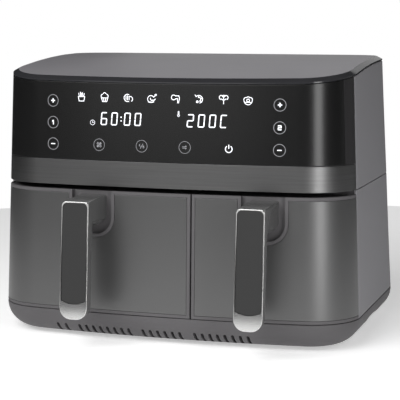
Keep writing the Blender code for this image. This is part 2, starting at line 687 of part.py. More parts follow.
def make_bay_frame():
    """Flat frame behind the drawer fronts, with an opening for each pan and a hole for each plunger."""
    low, high = DRAWER_BOTTOM, BAND_BOTTOM + BAY_FRAME_RISE
    y_front, y_rear = BAY_FRAME_Y, BAY_FRAME_Y + BAY_FRAME
    rings = []
    for z in (low, high):
        half = side_at(y_front, z, WALL + SEAM) - GAP
        rings.append([(-half, y_front, z), (half, y_front, z), (half, y_rear, z), (-half, y_rear, z)])
    frame = loft("bay_frame", rings, "dark_plastic")
    for index, side in enumerate(SIDES):
        left, right = bay_opening(index)
        opening = box(f"bay_opening_{side}", (left, y_front - 0.005, BAY_SILL),
                      (right, y_rear + 0.005, BAY_HEAD))
        hole = cylinder(f"plunger_hole_{side}", plunger_place(index, y_front), PLUNGER_RADIUS + 2 * GAP,
                        0.020, axis="Y", sides=12)
        cut(frame, opening, hole)
    return frame


def bay_opening(index):
    """Left and right edge of the opening that a pan goes through."""
    left, right = liner_span(index)
    return left + BAY_MARGIN, right - BAY_MARGIN


def make_liner(index):
    """Sheet steel cooking bay, open in front, with holes for the shaft, heater legs and sensor."""
    side = SIDES[index]
    left, right = liner_span(index)
    front = LINER_FRONT_Y
    liner = box(f"{side}_liner", (left, front, LINER_FLOOR), (right, LINER_REAR_Y, LINER_TOP), "galvanised")
    room_low = (left + SHEET, front + SHEET, BAY_SILL)
    room_high = (right - SHEET, LINER_REAR_Y - SHEET, LINER_TOP - SHEET)
    cut(liner, box(f"{side}_bay_room", room_low, room_high))
    door_left, door_right = bay_opening(index)
    door_low, door_high = (door_left, front - 0.010, BAY_SILL), (door_right, front + 0.010, BAY_HEAD)
    cut(liner, box(f"{side}_bay_door", door_low, door_high))
    x = rotor_x(index)
    cut(liner, cylinder(f"{side}_shaft_hole", (x, ROTOR_Y, LINER_TOP), 2 * SHAFT_RADIUS, 0.020))
    for leg, sign in enumerate((-1, 1)):
        place = (x + sign * HEATER_LEG_X, ROTOR_Y + HEATER_RADIUS[index], LINER_TOP)
        cut(liner, cylinder(f"{side}_leg_hole_{leg}", place, HEATER_TUBE + 0.0015, 0.020, sides=12))
    cut(liner, cylinder(f"{side}_sensor_hole", sensor_place(index), SENSOR_RADIUS + GAP, 0.020, sides=12))
    return liner


def make_heater(index):
    """Round tube heater whose two ends turn up through the bay's roof."""
    side = SIDES[index]
    radius = HEATER_RADIUS[index]
    x, y = rotor_x(index), ROTOR_Y
    opening = math.asin(HEATER_LEG_X / radius)
    count = 18
    turns = [math.pi / 2 + opening + (2 * math.pi - 2 * opening) * i / (count - 1) for i in range(count)]
    path = [(x + radius * math.cos(t), y + radius * math.sin(t), HEATER_HEIGHT) for t in turns]
    rise = LINER_TOP + 0.010
    start, end = path[0], path[-1]
    path = [(start[0], start[1], rise), (start[0], start[1], HEATER_HEIGHT + 0.003)] + path
    path += [(end[0], end[1], HEATER_HEIGHT + 0.003), (end[0], end[1], rise)]
    curve = bpy.data.curves.new(f"{side}_heater", "CURVE")
    curve.dimensions = "3D"
    spline = curve.splines.new("POLY")
    spline.points.add(len(path) - 1)
    for point, place in zip(spline.points, path):
        point.co = (*place, 1.0)
    curve.bevel_depth = HEATER_TUBE
    curve.bevel_resolution = 1
    curve.use_fill_caps = True
    curve.materials.append(finish("heater_steel"))
    obj = bpy.data.objects.new(f"{side}_heater", curve)
    PARTS.objects.link(obj)
    obj.parent = ASSEMBLY
    return obj


def sensor_place(index):
    """Place of a bay's temperature sensor in the liner's roof."""
    return rotor_x(index) - SENSOR_X, ROTOR_Y - HEATER_RADIUS[index] + HEATER_TUBE, LINER_TOP


def make_sensor(index):
    """Temperature probe through the liner's roof, with its flange."""
    low, flange = -0.014, GAP
    profile = ((0.0, low), (0.0, 0.012), (0.0020, 0.012), (0.0020, flange + 0.002))
    profile += ((0.0055, flange + 0.002),)
    profile += ((0.0055, flange), (SENSOR_RADIUS, flange), (SENSOR_RADIUS, low))
    return turned(f"{SIDES[index]}_sensor", profile, sensor_place(index), "bright_silver", steps=8)


# ---- Fans and motors ------------------------------------------------------------------------------------
def make_impeller(name, radius, height, blade_height, material, rotor):
    """Fan wheel on the rotor's axis: a disc with slanted blades and a bored hub."""
    wheel = cylinder(name, (0.0, 0.0, height), radius, 0.0012, material, sides=20, parent=rotor)
    hub_middle = (0.0, 0.0, height + blade_height / 2)
    hub = cylinder(f"{name}_hub", hub_middle, SHAFT_RADIUS + FAN_HUB, blade_height, sides=12, parent=rotor)
    join(wheel, hub)
    for i in range(FAN_BLADES):
        turn = 2 * math.pi * i / FAN_BLADES
        low, high = (radius * 0.30, -0.0006, 0.0), (radius * 0.96, 0.0006, blade_height)
        blade = box(f"{name}_blade_{i}", low, high, parent=rotor)
        middle = Vector((radius * 0.63, 0.0, height + blade_height / 2))
        blade.location = Matrix.Rotation(turn, 3, "Z") @ middle
        blade.rotation_euler = (0, 0, turn + math.radians(25))
        join(wheel, blade)
    bore = cylinder(f"{name}_bore", (0.0, 0.0, height), SHAFT_RADIUS + GAP, 0.100, sides=12, parent=rotor)
    return cut(wheel, bore)


def make_motor(index):
    """Motor can with its through bore."""
    x, y = rotor_x(index), ROTOR_Y
    bottom, top = MOTOR_BOTTOM, MOTOR_BOTTOM + MOTOR_HEIGHT
    bore, edge, boss = SHAFT_RADIUS + GAP, MOTOR_BOSS, 3 * SHAFT_RADIUS
    profile = ((bore, bottom - edge), (bore, top + edge), (boss, top + edge), (boss, top))
    profile += ((MOTOR_RADIUS - edge, top), (MOTOR_RADIUS, top - edge), (MOTOR_RADIUS, bottom + edge))
    profile += ((MOTOR_RADIUS - edge, bottom), (boss, bottom), (boss, bottom - edge))
    return turned(f"{SIDES[index]}_motor", profile, (x, y, 0.0), "galvanised", steps=14)


def make_motor_bracket(index):
    """Bridge that carries the motor over the cooling fan, with a foot at each end."""
    side = SIDES[index]
    x, y = rotor_x(index), ROTOR_Y
    sheet, half_y = BOARD, MOTOR_RADIUS * 0.55
    half = COOLING_RADIUS[index] + 2 * STANDOFF + FAN_HUB
    bracket = box(f"{side}_motor_bracket", (x - half, y - half_y, BRACKET_TOP - sheet),
                  (x + half, y + half_y, BRACKET_TOP), "galvanised")
    foot_low = LINER_TOP + GAP
    for leg, sign in enumerate((-1, 1)):
        upright = span_box(f"{side}_bracket_leg_{leg}", (x + sign * (half - sheet), y - half_y, foot_low),
                           (x + sign * half, y + half_y, BRACKET_TOP - sheet / 2))
        foot = span_box(f"{side}_bracket_foot_{leg}", (x + sign * (half - sheet / 2), y - half_y, foot_low),
                        (x + sign * (half + 0.008), y + half_y, foot_low + sheet))
        join(bracket, upright, foot)
    cut(bracket, cylinder(f"{side}_bracket_bore", (x, y, BRACKET_TOP), 4 * SHAFT_RADIUS, 0.020))
    return bracket


def make_rotor(index):
    """Shaft with the hot-air fan under the roof and the cooling fan over it, on an empty on the axis."""
    side = SIDES[index]
    rotor = add_empty(f"{side}_rotor", ASSEMBLY, (rotor_x(index), ROTOR_Y, 0.0))
    low, high = SHAFT_ENDS
    cylinder(f"{side}_motor_shaft", (0.0, 0.0, (low + high) / 2), SHAFT_RADIUS, high - low, "bright_silver",
             sides=12, parent=rotor)
    make_impeller(f"{side}_hot_air_fan", FAN_RADIUS[index], FAN_HEIGHT, FAN_BLADE, "aluminium", rotor)
    make_impeller(f"{side}_cooling_fan", COOLING_RADIUS[index], COOLING_HEIGHT, COOLING_BLADE,
                  "black_plastic", rotor)


# ---- Drawer interlock -----------------------------------------------------------------------------------
def plunger_place(index, y):
    """Where an interlock's plunger crosses a plane of constant y."""
    return SPLIT_X + (-1, 1)[index] * PLUNGER_OFFSET, y, PLUNGER_HEIGHT


def make_interlock(index):
    """Switch between the liners, and the plunger that the closed drawer holds in."""
    side = SIDES[index]
    width, depth, height = SWITCH
    face = LINER_FRONT_Y
    x, _, z = plunger_place(index, face)
    switch = box(f"{side}_interlock_switch", (x - width / 2, face, z - height / 2),
                 (x + width / 2, face + depth, z + height / 2), "black_plastic")
    socket_end = face + depth * 0.6
    cut(switch, cylinder(f"{side}_plunger_socket", (x, (face + socket_end) / 2, z), PLUNGER_RADIUS + GAP,
                         socket_end - face + 2 * GAP, axis="Y", sides=12))
    tip, tail = BACKPLATE_REAR_Y + GAP, socket_end - GAP
    cylinder(f"{side}_interlock_plunger", plunger_place(index, (tip + tail) / 2), PLUNGER_RADIUS,
             tail - tip, "white_plastic", axis="Y", sides=12)


# ---- Drawer fronts --------------------------------------------------------------------------------------
def drawer_sign(index):
    """-1 for the left drawer, 1 for the right one."""
    return (-1, 1)[index]


def drawer_edge(index, margin=0.0):
    """X of a drawer front's edge at the joint between the drawers, moved into the front by a margin."""
    return SPLIT_X + drawer_sign(index) * (SPLIT_GAP / 2 + margin)


def drawer_run(index, inset, z, margin=0.0, y_end=SIDE_SEAM_Y):
    """A drawer front's outline, from the joint between the drawers round its corner."""
    sign = drawer_sign(index)
    run = level(front_half, inset, z, x_start=sign * drawer_edge(index, margin), y_end=y_end)
    return [(sign * x, y, height) for x, y, height in run]


def front_block(name, index, inset, heights, back_y, margin=0.0, y_end=SIDE_SEAM_Y, **options):
    """A block with the drawer's bowed front and a flat back."""
    rings = []
    for z in heights:
        run = drawer_run(index, inset, z, margin, y_end)
        rings.append(run + [(run[-1][0], back_y, z)] * (back_y > y_end) + [(run[0][0], back_y, z)])
    return loft(name, rings, **options)


def bow_block(name, x_range, insets, heights, count=7):
    """A block between two insets of the bowed front, over a range of x."""
    left, right = x_range
    places = [left + (right - left) * i / (count - 1) for i in range(count)]
    rings = []
    for z in heights:
        outside, inside = ([(x, front_surface(x, z, inset), z) for x in places] for inset in insets)
        rings.append(outside + inside[::-1])
    return loft(name, rings)


def outline_prism(name, outline, front_y, back_y, material=None, parent=ASSEMBLY):
    """An outline of (x, z) points, extruded along Y."""
    bm = bmesh.new()
    face = bm.faces.new([bm.verts.new((x, front_y, z)) for x, z in outline])
    moved = bmesh.ops.extrude_face_region(bm, geom=[face])["geom"]
    corners = [item for item in moved if isinstance(item, bmesh.types.BMVert)]
    bmesh.ops.translate(bm, vec=(0.0, back_y - front_y, 0.0), verts=corners)
    return add_object(name, mesh_from(bm, name, 30), material, parent)


def notch_outline(index, margin):
    """U-shaped outline round the root of a handle, open at the top."""
    x, half = HANDLE_X[index], NOTCH_HALF + margin
    radius, low = NOTCH_RADIUS + margin, NOTCH_BOTTOM - margin
    left = arc((x - half + radius, low + radius), radius, math.pi, 1.5 * math.pi, 7)
    right = arc((x + half - radius, low + radius), radius, 1.5 * math.pi, 2 * math.pi, 7)
    return left + right + [(x + half, PANEL_BOTTOM), (x - half, PANEL_BOTTOM)]


def notch_prism(name, index, margin):
    """Cutter with the notch's outline."""
    return outline_prism(name, notch_outline(index, margin), -FRONT_DEPTH - 0.010, -FRONT_DEPTH + 0.040)


def make_drawer_front(index, drawer):
    """Moulded drawer front with a seat for its steel skin and a notch round the handle's root."""
    side = SIDES[index]
    low, high = DRAWER_BOTTOM, DRAWER_TOP
    front = front_block(f"{side}_drawer_front", index, 0.0, (low, high), SIDE_SEAM_Y,
                        material="dark_plastic", parent=drawer)
    room = front_block(f"{side}_front_room", index, DOOR_WALL, (low + DOOR_WALL, high - DOOR_WALL),
                       SIDE_SEAM_Y + 0.010, DOOR_WALL, SIDE_SEAM_Y + 0.006)
    half = NOTCH_HALF + DOOR_WALL
    middle = HANDLE_X[index]
    boss = bow_block(f"{side}_notch_boss", (middle - half, middle + half),
                     (DOOR_WALL / 2, NOTCH_DEPTH + DOOR_WALL),
                     (NOTCH_BOTTOM - DOOR_WALL, high - DOOR_WALL / 2))
    notch = bow_block(f"{side}_notch", (middle - 2 * half, middle + 2 * half), (-0.010, NOTCH_DEPTH),
                      (NOTCH_BOTTOM - 0.010, high + 0.010))
    combine(notch, [notch_prism(f"{side}_notch_shape", index, 0.0)], "INTERSECT")
    seat = make_skin_shape(f"{side}_skin_seat", index, (-0.002, SKIN + 2 * GAP), DRAWER_BORDER - GAP,
                           DRAWER_BORDER - GAP, SIDE_SEAM_Y + 0.004)
    return cut(join(cut(front, room), boss), notch, seat)


def make_skin_shape(name, index, insets, border, notch_margin, y_end, **options):
    """A bent sheet over the drawer's face, inside its border and round the notch."""
    low, high = DRAWER_BOTTOM + border, DRAWER_TOP - border
    outer, inner = insets
    runs = [drawer_run(index, inset, z, border, y_end)
            for inset, z in ((outer, low), (outer, high), (inner, high), (inner, low))]
    sheet = loft(name, list(zip(*runs)), **options)
    return cut(sheet, notch_prism(f"{name}_notch", index, notch_margin))


def make_drawer_skin(index, drawer):
    """Brushed steel skin of a drawer front."""
    make_skin_shape(f"{SIDES[index]}_drawer_skin", index, (0.0, SKIN), DRAWER_BORDER, DRAWER_BORDER,
                    SIDE_SEAM_Y - SEAM, material="dark_steel", parent=drawer)


def make_backplate(index, drawer):
    """Steel plate set in the back of a drawer front, which carries the pan."""
    low, high = DRAWER_BOTTOM + DOOR_WALL + GAP, DRAWER_TOP - DOOR_WALL - GAP
    near = drawer_edge(index, DOOR_WALL + GAP)
    far = drawer_sign(index) * (BODY_WIDTH / 2 - LINER_SIDE_GAP + BAY_MARGIN)
    rear = BACKPLATE_REAR_Y
    span_box(f"{SIDES[index]}_backplate", (near, rear - BACKPLATE, low), (far, rear, high), "galvanised",
             drawer)


# ---- Handles --------------------------------------------------------------------------------------------
def grip_outline(index, inset, low, high, bottom_radius, top_radius):
    """Rounded outline of the grip, seen from in front, moved inwards by inset at its sides."""
    x, half = HANDLE_X[index], HANDLE_WIDTH / 2 - inset
    corners = ((x - half + bottom_radius, low + bottom_radius, bottom_radius, math.pi),
               (x + half - bottom_radius, low + bottom_radius, bottom_radius, 1.5 * math.pi),
               (x + half - top_radius, high - top_radius, top_radius, 0.0),
               (x - half + top_radius, high - top_radius, top_radius, 0.5 * math.pi))
    return [point for cx, cz, radius, turn in corners
            for point in arc((cx, cz), radius, turn, turn + math.pi / 2, 6)]


def insert_outline(index, spare):
    """Outline of the grip's insert, grown by spare."""
    low = HANDLE_BOTTOM + CAP_HEIGHT - spare
    return grip_outline(index, TRIM - spare, low, GRIP_TOP - TRIM + spare, 0.0020, TRIM_CORNER)


def leaning(y, z):
    """Y of a point of the grip, which leans outwards towards its bottom."""
    return y - GRIP_LEAN * (GRIP_TOP - z) / (GRIP_TOP - HANDLE_BOTTOM)


def grip_prism(name, outline, front_y, back_y, *options):
    """An outline extruded along Y between two planes that lean with the grip."""
    obj = outline_prism(name, outline, front_y, back_y, *options)
    for corner in obj.data.vertices:
        corner.co.y = leaning(corner.co.y, corner.co.z)
    return obj


def make_handle_arm(index, drawer):
    """Handle: the arm out of the notch and the back of the grip, as one piece."""
    side = SIDES[index]
    back_y = GRIP_FRONT_Y + GRIP_THICKNESS
    face_y = GRIP_FRONT_Y + TRIM_DEPTH + GAP
    outline = grip_outline(index, 0.0, HANDLE_BOTTOM, GRIP_TOP, GRIP_CORNER, TRIM_CORNER)
    grip = grip_prism(f"{side}_handle_arm", outline, face_y, back_y, "gunmetal", drawer)
    x, half = HANDLE_X[index], HANDLE_WIDTH / 2
    rings = []
    for in_grip, top in ((True, GRIP_TOP), (False, ARM_TOP)):
        low = ARM_TOP - ARM_HEIGHT
        section = arc((x - half + ARM_EDGE, low + ARM_EDGE), ARM_EDGE, math.pi, 1.5 * math.pi, 5)
        section += arc((x + half - ARM_EDGE, low + ARM_EDGE), ARM_EDGE, 1.5 * math.pi, 2 * math.pi, 5)
        section += arc((x + half - 0.002, top - 0.002), 0.002, 0.0, math.pi / 2, 3)
        section += arc((x - half + 0.002, top - 0.002), 0.002, math.pi / 2, math.pi, 3)
        rings.append([(px, leaning(face_y + ARM_START, pz) if in_grip
                       else front_surface(px, pz, NOTCH_DEPTH) - GAP, pz) for px, pz in section])
    return join(grip, loft(f"{side}_arm_root", rings))


def make_handle_trim(index, drawer):
    """Silver trim round the face of the grip, closed by a cap at the bottom, and the insert in it."""
    side = SIDES[index]
    outline = grip_outline(index, 0.0, HANDLE_BOTTOM, GRIP_TOP, GRIP_CORNER, TRIM_CORNER)
    rear_y = GRIP_FRONT_Y + TRIM_DEPTH
    trim = grip_prism(f"{side}_handle_trim", outline, GRIP_FRONT_Y, rear_y, "bright_silver", drawer)
    seat = insert_outline(index, GAP)
    cut(trim, grip_prism(f"{side}_insert_seat", seat, GRIP_FRONT_Y - 0.005, rear_y + 0.005))
    grip_prism(f"{side}_handle_insert", insert_outline(index, 0.0), GRIP_FRONT_Y + GAP, rear_y,
               "black_plastic", drawer)


# ---- Pans and crisper plates ----------------------------------------------------------------------------
def rounded_rectangle(x_range, y_range, radius, z, count=5):
    """A rectangle with rounded corners at one height."""
    (left, right), (front, back) = x_range, y_range
    corners = ((right - radius, front + radius, -0.5), (right - radius, back - radius, 0.0),
               (left + radius, back - radius, 0.5), (left + radius, front + radius, 1.0))
    return [(x, y, z) for cx, cy, turn in corners
            for x, y in arc((cx, cy), radius, turn * math.pi, (turn + 0.5) * math.pi, count)]


def pan_ring(index, inset, z):
    """The pan's outline at a height, moved in from the outside of its rim."""
    left, right = bay_opening(index)
    spare = PAN_CLEARANCE + inset
    front = BACKPLATE_REAR_Y + GAP + max(0.0, inset - PAN_FLANGE) / 2
    y_range = (front, PAN_REAR_Y - inset)
    return rounded_rectangle((left + spare, right - spare), y_range, PAN_CORNER - inset, z)


def make_pan(index, drawer):
    """Tapered frying pan with a flat rim, hung on the plate behind the drawer front."""
    foot_inset = PAN_FLANGE + PAN_TAPER
    rings = [(foot_inset + PAN_WALL + PAN_FOOT, PAN_FLOOR), (foot_inset + PAN_WALL, PAN_FLOOR + PAN_FOOT),
             (PAN_FLANGE + PAN_WALL, PAN_RIM), (0.0, PAN_RIM), (0.0, PAN_RIM - PAN_WALL),
             (PAN_FLANGE, PAN_RIM - PAN_WALL), (foot_inset, PAN_FLOOR + PAN_FOOT)]
    rings.append((foot_inset + PAN_FOOT, PAN_BASE))
    loft(f"{SIDES[index]}_pan", [pan_ring(index, inset, z) for inset, z in rings], "pan_coating", drawer)


def plate_edges(index):
    """X range and y range of a crisper plate."""
    inset = PAN_FLANGE + PAN_TAPER + PAN_WALL + PLATE_GAP
    ring = pan_ring(index, inset, 0.0)
    xs, ys = [x for x, _, _ in ring], [y for _, y, _ in ring]
    return (min(xs), max(xs)), (min(ys) + PLATE_GAP, max(ys))


def make_crisper_plate(index, drawer):
    """Perforated plate on four legs, with a silicone bumper on each edge."""
    side = SIDES[index]
    lift = add_empty(f"{side}_plate", drawer)
    (left, right), (front, back) = plate_edges(index)
    under = PLATE_UNDER
    rings = [rounded_rectangle((left, right), (front, back), PLATE_CORNER, z)
             for z in (under, under + PLATE)]
    plate = loft(f"{side}_crisper_plate", rings, "pan_coating", lift)
    foot = PAN_FLOOR + GAP
    leg_inset = PLATE_CORNER + 2 * PLATE_LEG
    leg_x, leg_y = (right - left) / 2 - leg_inset, (back - front) / 2 - leg_inset
    middle = Vector(((left + right) / 2, (front + back) / 2, 0.0))
    for number, (sx, sy) in enumerate(((-1, -1), (1, -1), (-1, 1), (1, 1))):
        place = middle + Vector((sx * leg_x, sy * leg_y, (foot + under + PLATE / 2) / 2))
        join(plate, cylinder(f"{side}_plate_leg_{number}", place, PLATE_LEG,
                             under + PLATE / 2 - foot, sides=8))
    columns, rows = PLATE_HOLES[index]
    edge = PLATE_CORNER + PLATE_HOLE
    for column in range(columns):
        for row in range(rows):
            across = (column - (columns - 1) / 2) * (right - left - 2 * edge) / (columns - 1)
            along = (row - (rows - 1) / 2) * (back - front - 2 * edge) / (rows - 1)
            if (column in (0, columns - 1) and row in (0, rows - 1)) or (column + row) % 2:
                continue
            place = middle + Vector((across, along, under))
            cut(plate, cylinder(f"{side}_hole_{column}_{row}", place, PLATE_HOLE, 0.020, sides=8))
    thick, half = PLATE_GAP - 3 * GAP, BUMPER_LENGTH / 2
    low, high = under + PLATE / 2 - BUMPER_HEIGHT / 2, under + PLATE / 2 + BUMPER_HEIGHT / 2
    for number, sign in enumerate((-1, 1)):
        edge_x = (left, right)[number] + sign * GAP
        span_box(f"{side}_bumper_{('left', 'right')[number]}", (edge_x, middle.y - half, low),
                 (edge_x + sign * thick, middle.y + half, high), "silicone", lift)
        edge_y = (front, back)[number] + sign * GAP
        span_box(f"{side}_bumper_{('front', 'rear')[number]}", (middle.x - half, edge_y, low),
                 (middle.x + half, edge_y + sign * thick, high), "silicone", lift)


def main():
    """Build the housing, then each bay and its drawer."""
    for step in (make_base, make_feet, make_lower_shell, make_cord_gland, make_upper_shell, make_lid,
                 make_outlet_grille, make_fascia, make_control_glass, make_steel_band, make_control_board,
                 make_power_board, make_bay_frame):
        step()
    for index, side in enumerate(SIDES):
        for step in (make_liner, make_heater, make_sensor, make_motor, make_motor_bracket, make_rotor,
                     make_interlock):
            step(index)
        drawer = add_empty(f"{side}_drawer", ASSEMBLY)
        for step in (make_drawer_front, make_drawer_skin, make_backplate, make_handle_arm, make_handle_trim,
                     make_pan, make_crisper_plate):
            step(index, drawer)


main()
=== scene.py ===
"""Countertop air fryer with a wide and a narrow drawer: the looks of its parts, over the fixed frame.

Lengths are in metres in the frame's axes: +X to the right, -Y towards the person in front, +Z up. Parts of
the housing are drawn flat, as (along the outline, inwards, up), and then bent round the housing's plan.
"""

import json
import logging
import math
from collections.abc import Callable, Iterable, Sequence
from dataclasses import dataclass
from enum import Enum

import bmesh
import bpy
from mathutils import Matrix, Vector


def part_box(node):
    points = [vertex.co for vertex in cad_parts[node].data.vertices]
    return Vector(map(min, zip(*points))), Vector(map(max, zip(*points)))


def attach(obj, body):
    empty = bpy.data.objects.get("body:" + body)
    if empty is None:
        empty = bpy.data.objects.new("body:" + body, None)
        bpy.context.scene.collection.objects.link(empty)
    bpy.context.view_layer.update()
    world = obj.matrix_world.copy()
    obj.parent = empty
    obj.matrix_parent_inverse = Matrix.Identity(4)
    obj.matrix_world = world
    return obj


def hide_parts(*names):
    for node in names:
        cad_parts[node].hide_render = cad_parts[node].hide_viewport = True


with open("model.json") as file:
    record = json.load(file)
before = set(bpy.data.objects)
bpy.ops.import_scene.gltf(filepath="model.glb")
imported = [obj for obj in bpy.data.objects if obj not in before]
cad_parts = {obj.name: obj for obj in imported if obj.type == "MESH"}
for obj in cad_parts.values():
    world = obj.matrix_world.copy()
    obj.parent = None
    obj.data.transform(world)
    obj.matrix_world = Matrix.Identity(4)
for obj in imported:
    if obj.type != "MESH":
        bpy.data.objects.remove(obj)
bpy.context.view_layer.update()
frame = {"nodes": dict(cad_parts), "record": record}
LOG = logging.getLogger("air_fryer")
SIDES = ("left", "right")
FLAT_MAP = "flat_pattern"


# ---- Shape of the housing -------------------------------------------------------------------------------
@dataclass(frozen=True)
class HousingForm:
    """Plan outline of the housing and its crowned top, which every outer part is bent round."""

    half_width: float
    centre_y: float
    seam_z: float
    front: float = 0.1460
    back: float = 0.1470
    bow: float = 1.3070
    front_corner: float = 0.0566
    rear_corner: float = 0.0520
    rear_corner_growth: float = 0.10
    side_draft: float = 0.032
    front_draft: float = 0.023
    rear_draft: float = 0.036
    crown_above_seam: float = 0.2497
    crown_rise: float = 0.0204
    crown_reach: float = 0.2310
    upright_run: float = 0.1380
    parting_setback: float = 0.0580

    @classmethod
    def from_frame(cls) -> "HousingForm":
        """Take the overall sizes from the frame's lower shell."""
        low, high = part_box("lower_rear_shell")
        return cls(half_width=high.x, centre_y=high.y - cls.back, seam_z=low.z - 0.0003)

    @property
    def crown_front(self) -> float:
        """Height of the crowned top at the middle of its front edge."""
        return self.seam_z + self.crown_above_seam

    def _sizes(self, z: float) -> tuple[float, float, float, float]:
        """Half width, front, back and rear corner of the outline at a height."""
        rise = z - self.seam_z
        return (self.half_width - self.side_draft * rise, self.front - self.front_draft * rise,
                self.back - self.rear_draft * rise, self.rear_corner + self.rear_corner_growth * rise)

    def _runs(self, z: float) -> tuple[float, ...]:
        """Lengths along half the outline to the end of bow, corner, side, rear corner and back.

        Args:
            z: Height of the outline.

        Returns:
            The five lengths, then the turn of the bow, the corner's centre in x and y.
        """
        half, front, back, rear = self._sizes(z)
        corner_x = half - self.front_corner
        reach = self.bow - self.front_corner
        turn = math.asin(corner_x / reach)
        corner_y = self.bow - front - math.sqrt(reach**2 - corner_x**2)
        bow_run = self.bow * turn
        corner_run = bow_run + self.front_corner * (math.pi / 2 - turn)
        side_run = corner_run + back - rear - corner_y
        rear_run = side_run + rear * math.pi / 2
        return bow_run, corner_run, side_run, rear_run, rear_run + half - rear, turn, corner_x, corner_y

    def _run_at_setback(self, setback: float, z: float) -> float:
        """Length along the outline at a height, to a distance behind the bow's middle, on the corner."""
        bow_run, _, _, _, _, turn, _, corner_y = self._runs(z)
        sine = max(-1.0, min(0.0, (setback - self.front - corner_y) / self.front_corner))
        return bow_run + self.front_corner * (math.asin(sine) + math.pi / 2 - turn)

    def half_run(self) -> float:
        """Length of half the outline at the seam."""
        return self._runs(self.seam_z)[4]

    def parting(self) -> float:
        """Length along the flat pattern to the upright joint between front and rear parts."""
        return self._run_at_setback(self.parting_setback, self.seam_z)

    def at_setback(self, setback: float, z: float) -> float:
        """Length along the flat pattern to a distance behind the bow's middle, at a height."""
        true = self._run_at_setback(setback, z)
        share = (true - self.upright_run) / (self._run_at_setback(self.parting_setback, z) - self.upright_run)
        return self.upright_run + share * (self.parting() - self.upright_run)

    def at_x(self, x: float) -> float:
        """Length along the flat pattern to an x on the bowed front."""
        return self.bow * math.asin(x / self.bow)

    def point(self, along: float, inset: float, z: float) -> Vector:
        """Bend one point of a flat pattern round the housing.

        Args:
            along: Length along the outline from the middle of the front, to the right.
            inset: Distance inwards from the outer face.
            z: Height.

        Returns:
            The point in the frame's axes.
        """
        whole, parting = self.half_run(), self.parting()
        side = 1.0 if along >= 0 else -1.0
        run = abs(along)
        if run > whole:
            run, side = 2 * whole - run, -side
        bow_run, corner_run, side_run, rear_run, end_run, turn, corner_x, corner_y = self._runs(z)
        seam_run = self._run_at_setback(self.parting_setback, z)
        if run > parting:
            run = seam_run + (run - parting) * (end_run - seam_run) / (whole - parting)
        elif run > self.upright_run:
            share = (run - self.upright_run) / (parting - self.upright_run)
            run = self.upright_run + share * (seam_run - self.upright_run)
        half, front, back, rear = self._sizes(z)
        if run <= bow_run:
            angle = run / self.bow
            x = (self.bow - inset) * math.sin(angle)
            y = self.bow - front - (self.bow - inset) * math.cos(angle)
        elif run <= corner_run:
            angle = turn - math.pi / 2 + (run - bow_run) / self.front_corner
            x = corner_x + (self.front_corner - inset) * math.cos(angle)
            y = corner_y + (self.front_corner - inset) * math.sin(angle)
        elif run <= side_run:
            x, y = half - inset, corner_y + run - corner_run
        elif run <= rear_run:
            angle = (run - side_run) / rear
            x = half - rear + (rear - inset) * math.cos(angle)
            y = back - rear + (rear - inset) * math.sin(angle)
        else:
            x, y = half - rear - (run - rear_run), back - inset
        return Vector((side * x, y + self.centre_y, z))

    def crown(self, y: float, drop: float = 0.0) -> float:
        """Height of the crowned top at a y of the frame, lowered by drop."""
        behind = y - self.centre_y + self._sizes(self.crown_front)[1]
        return self.crown_front - drop + self.crown_rise * (1.0 - (1.0 - behind / self.crown_reach) ** 2)

    def crown_point(self, along: float, inset: float, drop: float) -> Vector:
        """Bend a point whose height is a drop below the crowned top."""
        nominal = self.point(along, inset, self.crown_front)
        found = self.point(along, inset, self.crown(nominal.y, drop))
        found.z = self.crown(found.y, drop)
        return found

    def stations(self, start: float, end: float, bow_step: float = 0.012,
                 corner_step: float = 0.0022) -> list[float]:
        """Places along the flat pattern where it's sliced so that it bends smoothly.

        Args:
            start: First place that is needed.
            end: Last place.
            bow_step: Spacing on the bowed front.
            corner_step: Spacing on the rounded corners.

        Returns:
            The places between start and end, in order.
        """
        bow_run, corner_run, side_run, rear_run, whole = self._runs(self.seam_z)[:5]
        spare = 4 * corner_step
        flat_step = 0.040
        spans = ((0.0, bow_run - spare, bow_step), (bow_run - spare, corner_run + spare, corner_step),
                 (corner_run + spare, side_run - spare, flat_step),
                 (side_run - spare, rear_run + spare, corner_step), (rear_run + spare, whole, flat_step))
        half: list[float] = []
        for low, high, step in spans:
            count = max(1, round((high - low) / step))
            half += [low + (high - low) * i / count for i in range(count)]
        places = {round(value, 6) for value in half}
        places |= {round(-value, 6) for value in half} | {round(2 * whole - value, 6) for value in half}
        places.add(round(whole, 6))
        return sorted(value for value in places if start + 1e-4 < value < end - 1e-4)


class Operation(Enum):
    """How two workpieces are combined."""

    UNION = "UNION"
    DIFFERENCE = "DIFFERENCE"
    INTERSECT = "INTERSECT"


